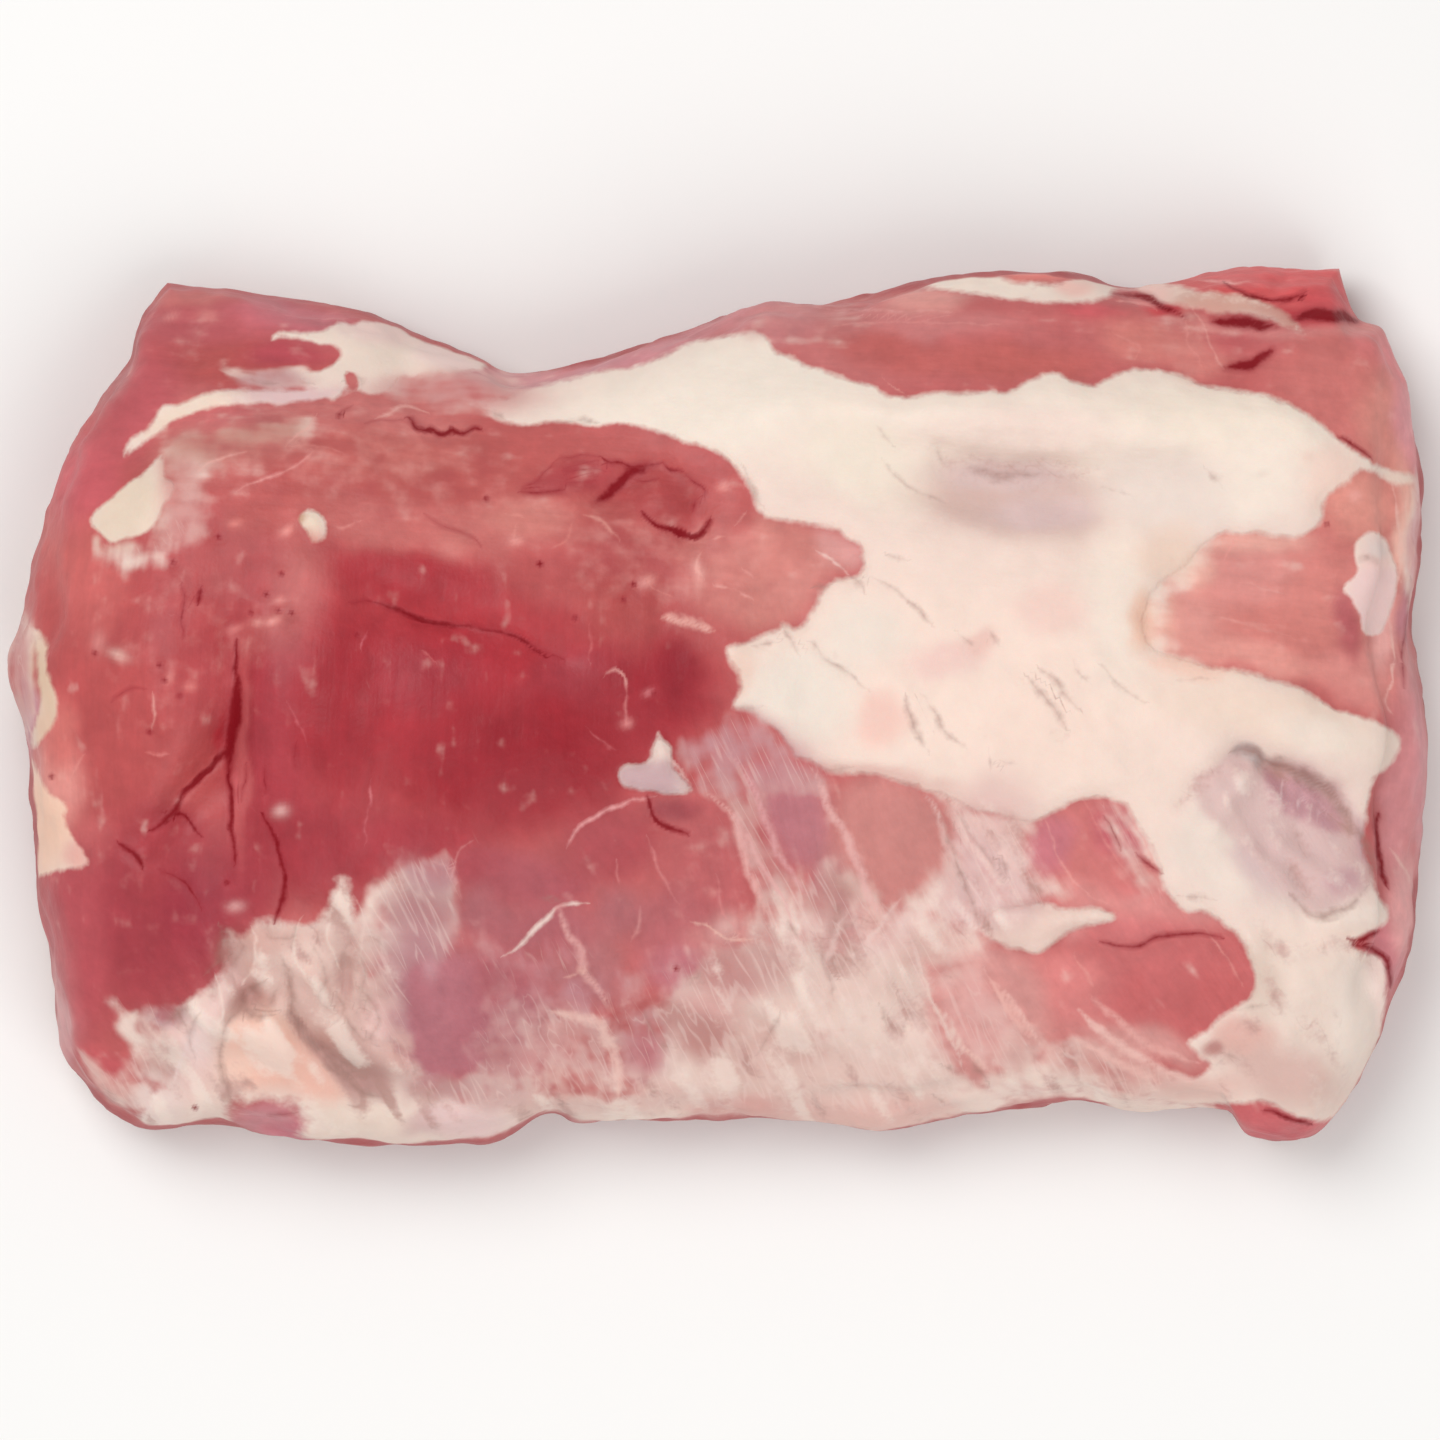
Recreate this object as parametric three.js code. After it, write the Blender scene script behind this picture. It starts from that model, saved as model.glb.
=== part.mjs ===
import * as THREE from "three";

// A raw boneless pork neck, lying flat with its fat side up: one slab of muscles that hold together, with a
// fold at its right end where an upper layer lies over a lower one. Millimetres, +Z up, X along the neck.
// The origin is on the surface that it lies on, under the middle of its outline.

// How high the slab stands where nothing swells or hollows it.
const BODY_HEIGHT = 44;
// The wall rounds over from the top in this width, is widest at this share of its height, and tucks under to the
// table. How far each of the three strays from its value round the slab, as a share of it, is its stray.
const CROWN_INSET = 13;
const CROWN_STRAY = 0.3;
const CROWN_FULLNESS = 0.85;
const WIDEST_AT = 0.36;
const WIDEST_STRAY = 0.28;
const BASE_INSET = 12;
const BASE_STRAY = 0.35;
const TABLE_TURN = THREE.MathUtils.degToRad(72);
// The top sinks towards its rim by this share of its height, over about this width.
const RIM_DROP = 0.2;
const RIM_WIDTH = 18;
// The wall leans in towards the nearest point of this line, which runs along the middle of the slab.
const MIDLINE_HALF = 58;
// Long soft waves that keep every face uneven. Two places this far apart in height have waves of their own.
const TOP_WAVE = 0.8;
const WALL_WAVE = 2.4;
const WAVE_APART = 29;

// Mesh cells along and across the slab, and rows down its upper and lower wall.
const CELLS_LONG = 58;
const CELLS_WIDE = 36;
const UPPER_ROWS = 9;
const LOWER_ROWS = 4;
// Steps along each run of the outline when the rim is measured from.
const RIM_STEPS = 60;

// The outline from above, clockwise in four runs. Each run starts where the one before it ends.
const OUTLINE = {
  back: [
    [-110, 84.5], [-90, 82], [-68, 78], [-57, 73], [-48, 69.5], [-40, 66.3], [-28, 68.5], [-5, 75.5],
    [10, 80.5], [27, 81.3], [45, 86], [68, 86.7], [85, 84.2], [104, 87.3], [124.5, 87.5],
  ],
  right: [
    [124.5, 87.5], [128, 78], [133.5, 75], [137.5, 64], [141, 47], [141, 32], [139.3, 16], [142, -5],
    [140.5, -28], [139, -48], [134.5, -60], [131.8, -68], [125.5, -79],
  ],
  front: [
    [125.5, -79], [119, -86], [107, -86.3], [101, -80.5], [84, -81.3], [72, -79.3], [48, -82], [34, -85],
    [20, -83.3], [-5, -82.3], [-26, -83.5], [-34, -82.2], [-45, -87], [-66, -88], [-88, -86],
    [-101, -83.5], [-113, -85], [-122, -80.5],
  ],
  left: [
    [-122, -80.5], [-130.5, -70], [-133.5, -50], [-136.5, -38], [-136.5, -26], [-138.5, -5],
    [-141.5, 8], [-138.5, 20], [-133, 42], [-124, 61], [-118, 69], [-116, 77], [-110, 84.5],
  ],
};

// Swellings and hollows of the top: where each is, its reach along and across, its turn in degrees, its rise.
const MOUNDS = [
  { what: "eye of the neck", at: [-60, -2], reach: [66, 46], turn: -6, rise: 15 },
  { what: "left shoulder of the eye", at: [-112, 2], reach: [24, 42], turn: 0, rise: 5 },
  { what: "cut into the eye", at: [-97, -14], reach: [7, 26], turn: 4, rise: -4 },
  { what: "flap behind the eye", at: [-92, 78], reach: [46, 15], turn: -8, rise: -14 },
  { what: "tip of the flap", at: [-113, 84], reach: [19, 19], turn: 0, rise: -10 },
  { what: "notch behind the eye", at: [-42, 70], reach: [24, 13], turn: 12, rise: -10 },
  { what: "strap muscle at the back", at: [48, 74], reach: [48, 8], turn: 1, rise: 2 },
  { what: "fold of fat", at: [58, 58], reach: [62, 8], turn: -3, rise: 5 },
  { what: "hollow in the fat", at: [60, 42], reach: [30, 7], turn: -5, rise: -3 },
  { what: "thick fat", at: [62, 8], reach: [40, 20], turn: -15, rise: 4.5 },
  { what: "salmon muscle", at: [112, 18], reach: [24, 13], turn: -12, rise: -2.5 },
  { what: "skin over the joint", at: [116, -24], reach: [16, 13], turn: -30, rise: -5 },
  { what: "pad of fat at the corner", at: [118, -58], reach: [20, 14], turn: 30, rise: 2.5 },
  { what: "lean window", at: [90, -54], reach: [22, 10], turn: -4, rise: -3.5 },
  { what: "lower slope", at: [15, -88], reach: [120, 26], turn: 0, rise: -11 },
  { what: "lower left corner", at: [-112, -80], reach: [34, 22], turn: 20, rise: -8 },
  { what: "knot of fat", at: [-92, -66], reach: [17, 9], turn: -30, rise: 4 },
  { what: "lower layer at the back corner", at: [116, 88], reach: [23, 9], turn: -6, rise: -15 },
  { what: "lower layer at the front corner", at: [112, -88], reach: [11, 7], turn: 0, rise: -9 },
];

// Clefts between the muscles: the line that each follows, how deep it is, and half its width at the surface.
const CLEFTS = [
  { what: "deep cut", line: [[-95, 14], [-96, 0], [-98, -10], [-104, -16], [-113, -27]], depth: 4, half: 4.2 },
  { what: "crease across the eye", line: [[-68, 20], [-56, 17], [-42, 13], [-31, 9]], depth: 2, half: 4 },
  { what: "seam of the flap", line: [[-118, 50], [-108, 58], [-92, 61.5], [-48, 66]], depth: 3.6, half: 4.4 },
  { what: "torn grain", line: [[-22, 41], [-12, 47], [-3, 42], [-6, 34]], depth: 2.2, half: 4 },
  { what: "edge of the back layer", line: [[80, 82], [92, 78.5], [104, 77], [128, 77]], depth: 4, half: 4 },
  { what: "edge of the front layer", line: [[100, -78], [109, -80], [121, -84]], depth: 3, half: 3.6 },
  { what: "edge of the joint skin", line: [[104, -10], [113, -13], [125, -20]], depth: 2.2, half: 4 },
];

// The fold in the wall, where the upper layer overhangs the lower: how deep it is at these places round the
// outline, given by the run and the share of it. It fades to nothing in between.
const FOLD_DEPTH = 5.5;
const FOLD_AT = THREE.MathUtils.degToRad(38);
const FOLD_HALF = THREE.MathUtils.degToRad(15);
const FOLDS = [
  { run: "right", from: 0.14, to: 0.9 },
  { run: "front", from: 0.3, to: 0.42 },
  { run: "left", from: 0.5, to: 0.62 },
];
const FOLD_FADE = 0.05;

const smooth = (low, high, x) => THREE.MathUtils.smoothstep(x, low, high);

// Distance from a point to a line of points.
function distanceTo(line, x, y) {
  let nearest = Infinity;
  for (let i = 0; i + 1 < line.length; i++) {
    const [ax, ay] = line[i];
    const [bx, by] = line[i + 1];
    const along = ((x - ax) * (bx - ax) + (y - ay) * (by - ay)) / ((bx - ax) ** 2 + (by - ay) ** 2);
    const t = THREE.MathUtils.clamp(along, 0, 1);
    nearest = Math.min(nearest, Math.hypot(x - ax - t * (bx - ax), y - ay - t * (by - ay)));
  }
  return nearest;
}

// A smooth value between about -1 and 1 that changes over 25 to 60 mm.
function wave(x, y, z) {
  const broad = Math.sin(0.113 * x + 0.071 * y + 1.3) * Math.sin(0.094 * y - 0.052 * x + 0.12 * z + 0.4);
  const close = Math.sin(0.23 * x - 0.11 * y + 0.21 * z + 2.1) * Math.sin(0.19 * y + 0.07 * x + 5.2);
  return 0.65 * broad + 0.35 * close;
}

const spline = (points) => new THREE.SplineCurve(points.map(([x, y]) => new THREE.Vector2(x, y)));
const rim = Object.values(OUTLINE).flatMap((run) => {
  return spline(run).getSpacedPoints(RIM_STEPS).slice(1).map((p) => p.toArray());
});

// Height of the top over a place in the outline.
function topHeight(x, y) {
  let height = BODY_HEIGHT + TOP_WAVE * wave(x, y, 0);
  for (const { at, reach, turn, rise } of MOUNDS) {
    const a = THREE.MathUtils.degToRad(turn);
    const along = ((x - at[0]) * Math.cos(a) + (y - at[1]) * Math.sin(a)) / reach[0];
    const across = ((y - at[1]) * Math.cos(a) - (x - at[0]) * Math.sin(a)) / reach[1];
    height += rise * Math.exp(-along * along - across * across);
  }
  for (const { line, depth, half } of CLEFTS) {
    height -= depth * Math.exp(-((distanceTo(line, x, y) / half) ** 2));
  }
  return height * (1 - RIM_DROP * Math.exp(-((distanceTo(rim, x, y) / RIM_WIDTH) ** 2)));
}

// How much of the fold there is at a share of a run.
function foldAt(run, share) {
  let most = 0;
  for (const fold of FOLDS.filter((f) => f.run === run)) {
    const open = fold.from > 0 ? smooth(fold.from - FOLD_FADE, fold.from + FOLD_FADE, share) : 1;
    const shut = fold.to < 1 ? 1 - smooth(fold.to - FOLD_FADE, fold.to + FOLD_FADE, share) : 1;
    most = Math.max(most, open * shut);
  }
  return most;
}

// The rim as stations: its place, which way is inwards, and how deep the fold is there.
function stations() {
  const made = [];
  for (const [run, points] of Object.entries(OUTLINE)) {
    const cells = run === "back" || run === "front" ? CELLS_LONG : CELLS_WIDE;
    const spaced = spline(points).getSpacedPoints(cells);
    for (let i = 0; i < cells; i++) {
      const place = spaced[i];
      const middle = new THREE.Vector2(THREE.MathUtils.clamp(place.x, -MIDLINE_HALF, MIDLINE_HALF), 0);
      const stray = wave(place.x, place.y, WAVE_APART);
      made.push({
        place,
        inwards: middle.sub(place).normalize(),
        fold: foldAt(run, i / cells),
        crownInset: CROWN_INSET * (1 + CROWN_STRAY * stray),
        widestAt: WIDEST_AT * (1 + WIDEST_STRAY * wave(place.x, place.y, 2 * WAVE_APART)),
        baseInset: BASE_INSET * (1 - BASE_STRAY * stray),
      });
    }
  }
  return made;
}

const inset = (station, by) => station.place.clone().addScaledVector(station.inwards, by);

// The top as a grid of places stretched between the four runs of the crown.
function topGrid(crown) {
  const long = CELLS_LONG;
  const wide = CELLS_WIDE;
  const round = crown.length;
  const back = (i) => crown[i];
  const right = (j) => crown[long + wide - j];
  const front = (i) => crown[2 * long + wide - i];
  const left = (j) => crown[(2 * long + wide + j) % round];
  const grid = [];
  for (let j = 0; j <= wide; j++) {
    for (let i = 0; i <= long; i++) {
      const s = i / long;
      const r = j / wide;
      const p = new THREE.Vector2()
        .addScaledVector(front(i), 1 - r)
        .addScaledVector(back(i), r)
        .addScaledVector(left(j), 1 - s)
        .addScaledVector(right(j), s)
        .addScaledVector(front(0), -(1 - s) * (1 - r))
        .addScaledVector(front(long), -s * (1 - r))
        .addScaledVector(back(0), -(1 - s) * r)
        .addScaledVector(back(long), -s * r);
      grid.push(new THREE.Vector3(p.x, p.y, topHeight(p.x, p.y)));
    }
  }
  return grid;
}

// The wall below the crown at one station, from the first row under the crown down to the table.
function wallBelow(station) {
  const crownHeight = topHeight(...inset(station, station.crownInset).toArray());
  const widest = crownHeight * station.widestAt;
  const rows = [];
  for (let k = 1; k <= UPPER_ROWS; k++) {
    const turn = ((k / UPPER_ROWS) * Math.PI) / 2;
    const z = widest + (crownHeight - widest) * Math.cos(turn) ** CROWN_FULLNESS;
    const bulge = station.crownInset * (1 - Math.sin(turn) ** CROWN_FULLNESS);
    const cleft = FOLD_DEPTH * station.fold * Math.exp(-(((turn - FOLD_AT) / FOLD_HALF) ** 2));
    const uneven = WALL_WAVE * (1 - Math.cos(2 * turn)) * 0.5 * (1 + wave(station.place.x, station.place.y, 2 * z));
    rows.push([bulge + cleft + uneven * Math.cos(turn), z]);
  }
  for (let k = 1; k <= LOWER_ROWS; k++) {
    const turn = (k / LOWER_ROWS) * TABLE_TURN;
    const z = widest * (1 - Math.sin(turn) / Math.sin(TABLE_TURN));
    rows.push([station.baseInset * ((1 - Math.cos(turn)) / (1 - Math.cos(TABLE_TURN))), z]);
  }
  return rows.map(([by, z]) => {
    const p = inset(station, by);
    return new THREE.Vector3(p.x, p.y, z);
  });
}

// The whole slab as one closed surface: the top grid, the wall round it, and the flat face that it lies on.
function slabGeometry() {
  const rimStations = stations();
  const round = rimStations.length;
  const grid = topGrid(rimStations.map((s) => inset(s, s.crownInset)));
  const walls = rimStations.map(wallBelow);
  const rowCount = walls[0].length;
  const vertices = [...grid];
  const faces = [];
  const cell = (i, j) => j * (CELLS_LONG + 1) + i;

  // Quads are split along their shorter diagonal.
  const quad = (a, b, c, d) => {
    const ac = vertices[a].distanceTo(vertices[c]);
    const bd = vertices[b].distanceTo(vertices[d]);
    faces.push(...(ac < bd ? [a, b, c, a, c, d] : [a, b, d, b, c, d]));
  };

  // The crown's vertices in the order of the stations.
  const crown = [];
  for (let i = 0; i < CELLS_LONG; i++) crown.push(cell(i, CELLS_WIDE));
  for (let j = CELLS_WIDE; j > 0; j--) crown.push(cell(CELLS_LONG, j));
  for (let i = CELLS_LONG; i > 0; i--) crown.push(cell(i, 0));
  for (let j = 0; j < CELLS_WIDE; j++) crown.push(cell(0, j));

  const ringStart = (row) => grid.length + row * round;
  for (let row = 0; row < rowCount; row++) {
    for (const wall of walls) vertices.push(wall[row]);
  }
  for (let j = 0; j < CELLS_WIDE; j++) {
    for (let i = 0; i < CELLS_LONG; i++) quad(cell(i, j), cell(i + 1, j), cell(i + 1, j + 1), cell(i, j + 1));
  }
  for (let row = 0; row < rowCount; row++) {
    for (let k = 0; k < round; k++) {
      const next = (k + 1) % round;
      const above = row === 0 ? crown[k] : ringStart(row - 1) + k;
      const aboveNext = row === 0 ? crown[next] : ringStart(row - 1) + next;
      quad(above, aboveNext, ringStart(row) + next, ringStart(row) + k);
    }
  }
  const base = ringStart(rowCount - 1);
  const baseOutline = walls.map((wall) => new THREE.Vector2(wall[rowCount - 1].x, wall[rowCount - 1].y));
  for (const [a, b, c] of THREE.ShapeUtils.triangulateShape(baseOutline, [])) {
    faces.push(base + a, base + c, base + b);
  }

  const geometry = new THREE.BufferGeometry();
  geometry.setAttribute("position", new THREE.Float32BufferAttribute(vertices.flatMap((v) => v.toArray()), 3));
  geometry.setIndex(faces);
  geometry.computeBoundingBox();
  const middle = geometry.boundingBox.getCenter(new THREE.Vector3());
  geometry.translate(-middle.x, -middle.y, 0);
  geometry.computeVertexNormals();
  return geometry;
}

const meat = new THREE.MeshStandardMaterial({ color: 0xc4605d, roughness: 0.45, metalness: 0 });
const slab = new THREE.Mesh(slabGeometry(), meat);
slab.name = "pork_neck";

const porkNeck = new THREE.Group();
porkNeck.add(slab);

export default porkNeck;
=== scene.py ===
"""A raw boneless pork neck that lies flat with its fat side up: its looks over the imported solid.

Everything is worked out in millimetres in the frame of the outline, and moved to the part's origin.
"""

import itertools
import math

import bpy
import numpy as np
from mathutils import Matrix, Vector


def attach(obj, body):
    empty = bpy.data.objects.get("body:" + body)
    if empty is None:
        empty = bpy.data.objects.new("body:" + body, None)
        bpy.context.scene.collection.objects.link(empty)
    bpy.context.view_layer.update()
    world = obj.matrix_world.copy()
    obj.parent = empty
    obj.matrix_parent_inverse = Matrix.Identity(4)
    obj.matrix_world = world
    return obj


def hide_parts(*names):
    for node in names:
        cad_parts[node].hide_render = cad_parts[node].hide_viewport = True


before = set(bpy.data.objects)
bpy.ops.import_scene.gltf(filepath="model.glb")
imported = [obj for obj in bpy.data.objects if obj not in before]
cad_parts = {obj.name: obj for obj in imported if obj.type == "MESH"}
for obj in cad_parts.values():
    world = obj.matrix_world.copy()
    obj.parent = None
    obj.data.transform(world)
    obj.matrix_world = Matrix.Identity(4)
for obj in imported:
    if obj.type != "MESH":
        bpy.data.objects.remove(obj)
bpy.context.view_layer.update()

MM = 0.001

# The slab's shape, from the same named values as the part's own source.
BODY_HEIGHT = 44
CROWN_INSET = 13
CROWN_STRAY = 0.3
CROWN_FULLNESS = 0.85
WIDEST_AT = 0.36
WIDEST_STRAY = 0.28
BASE_INSET = 12
BASE_STRAY = 0.35
TABLE_TURN = math.radians(72)
RIM_DROP = 0.2
RIM_WIDTH = 18
RIM_EASE = 0.6
MIDLINE_HALF = 58
TOP_WAVE = 0.8
WALL_WAVE = 2.4
WAVE_APART = 29
RIM_STEPS = 60
FOLD_DEPTH = 5.5
FOLD_AT = math.radians(38)
FOLD_HALF = math.radians(15)
FOLD_FADE = 0.05

# Mesh cells along and across the slab and down its wall. The underside has cells four times as large.
CELLS_LONG = 320
CELLS_WIDE = 196
UPPER_ROWS = 22
LOWER_ROWS = 7
UNDERSIDE_CELL = 4
UNDER_LONG = CELLS_LONG // UNDERSIDE_CELL
UNDER_WIDE = CELLS_WIDE // UNDERSIDE_CELL

# Two rings lie this far inside the foot of the wall, and the underside within them is a little hollow.
FOOT_INSETS = (2.2, 5)
HOLLOW_HEIGHT = 0.9

# The sharp line where the top meets the wall is eased over about 6 cells, which are nearly 1 mm each.
EASING_ROUNDS = 50
EASING_MOST = 0.6
EASING_CELLS = 6

# From this width on a line is wider than the mesh's cells. A narrower one fades between these distances.
WIDE = 1.7
LINE_FADE = 2.5
LINE_FADE_FROM = 0.8
LINE_FADE_TO = 1.9

# The share of the way down the wall where the top's pattern ends and the side's own has taken over.
WALL_FROM = 0.62
WALL_TO = 0.86
WALL_STRAY = 0.14

# Lean is moister than fat, and blood in a crease shines least.
LEAN_ROUGHNESS = 0.44
FAT_ROUGHNESS = 0.56
MEAT_SHINE = 0.32
BLOOD_SHINE = 0.08

# A Mix node of colours has its inputs and its result at these numbers.
MIX_UNDER = 6
MIX_OVER = 7
MIX_RESULT = 2

# The photograph looks straight down. Its 1440 pixels are 288 mm at the height where the wall is widest.
PIXEL = 0.2
PHOTO_SIDE = 1440
OUTLINE_ORIGIN = (717, 706)
SIDE_HEIGHT = 16
CAMERA_HEIGHT = 3000
SENSOR_WIDTH = 36

# The studio, in metres, and how brightly its room lights the meat.
FLOOR_HALF = 3.0
ROOM_LIGHT = 0.43

OUTLINE = {
    "back": [
        (-110, 84.5), (-90, 82), (-68, 78), (-57, 73), (-48, 69.5), (-40, 66.3), (-28, 68.5), (-5, 75.5),
        (10, 80.5), (27, 81.3), (45, 86), (68, 86.7), (85, 84.2), (104, 87.3), (124.5, 87.5),
    ],
    "right": [
        (124.5, 87.5), (128, 78), (133.5, 75), (137.5, 64), (141, 47), (141, 32), (139.3, 16), (142, -5),
        (140.5, -28), (139, -48), (134.5, -60), (131.8, -68), (125.5, -79),
    ],
    "front": [
        (125.5, -79), (119, -86), (107, -86.3), (101, -80.5), (84, -81.3), (72, -79.3), (48, -82), (34, -85),
        (20, -83.3), (-5, -82.3), (-26, -83.5), (-34, -82.2), (-45, -87), (-66, -88), (-88, -86),
        (-101, -83.5), (-113, -85), (-122, -80.5),
    ],
    "left": [
        (-122, -80.5), (-130.5, -70), (-133.5, -50), (-136.5, -38), (-136.5, -26), (-138.5, -5), (-141.5, 8),
        (-138.5, 20), (-133, 42), (-124, 61), (-118, 69), (-116, 77), (-110, 84.5),
    ],
}

# Swellings and hollows of the top: name, place, reach along and across, turn in degrees, rise.
MOUNDS = [
    ("eye of the neck", (-60, -2), (66, 46), -6, 15),
    ("left shoulder of the eye", (-112, 2), (24, 42), 0, 5),
    ("cut into the eye", (-97, -14), (7, 26), 4, -4),
    ("flap behind the eye", (-92, 78), (46, 15), -8, -14),
    ("tip of the flap", (-113, 84), (19, 19), 0, -10),
    ("notch behind the eye", (-42, 70), (24, 13), 12, -10),
    ("strap muscle at the back", (48, 74), (48, 8), 1, 2),
    ("fold of fat", (58, 58), (62, 8), -3, 5),
    ("hollow in the fat", (60, 42), (30, 7), -5, -3),
    ("thick fat", (62, 8), (40, 20), -15, 4.5),
    ("salmon muscle", (112, 18), (24, 13), -12, -2.5),
    ("skin over the joint", (116, -24), (16, 13), -30, -5),
    ("pad of fat at the corner", (118, -58), (20, 14), 30, 2.5),
    ("lean window", (90, -54), (22, 10), -4, -3.5),
    ("lower slope", (15, -88), (120, 26), 0, -11),
    ("lower left corner", (-112, -80), (34, 22), 20, -8),
    ("knot of fat", (-92, -66), (17, 9), -30, 4),
    ("lower layer at the back corner", (116, 88), (23, 9), -6, -15),
    ("lower layer at the front corner", (112, -88), (11, 7), 0, -9),
]

# Clefts between the muscles: name, line, depth, half width.
CLEFTS = [
    ("deep cut", [(-95, 14), (-96, 0), (-98, -10), (-104, -16), (-113, -27)], 4, 4.2),
    ("crease across the eye", [(-68, 20), (-56, 17), (-42, 13), (-31, 9)], 2, 4),
    ("seam of the flap", [(-118, 50), (-108, 58), (-92, 61.5), (-48, 66)], 3.6, 4.4),
    ("torn grain", [(-22, 41), (-12, 47), (-3, 42), (-6, 34)], 2.2, 4),
    ("edge of the back layer", [(80, 82), (92, 78.5), (104, 77), (128, 77)], 4, 4),
    ("edge of the front layer", [(100, -78), (109, -80), (121, -84)], 3, 3.6),
    ("edge of the joint skin", [(104, -10), (113, -13), (125, -20)], 2.2, 4),
]

# The fold in the wall: the run and the share of it where it begins and ends.
FOLDS = [
    ("right", 0.14, 0.9),
    ("front", 0.3, 0.42),
    ("left", 0.5, 0.62),
]

# What the surface shows, in millimetres from above. Widths are in millimetres too.

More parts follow.
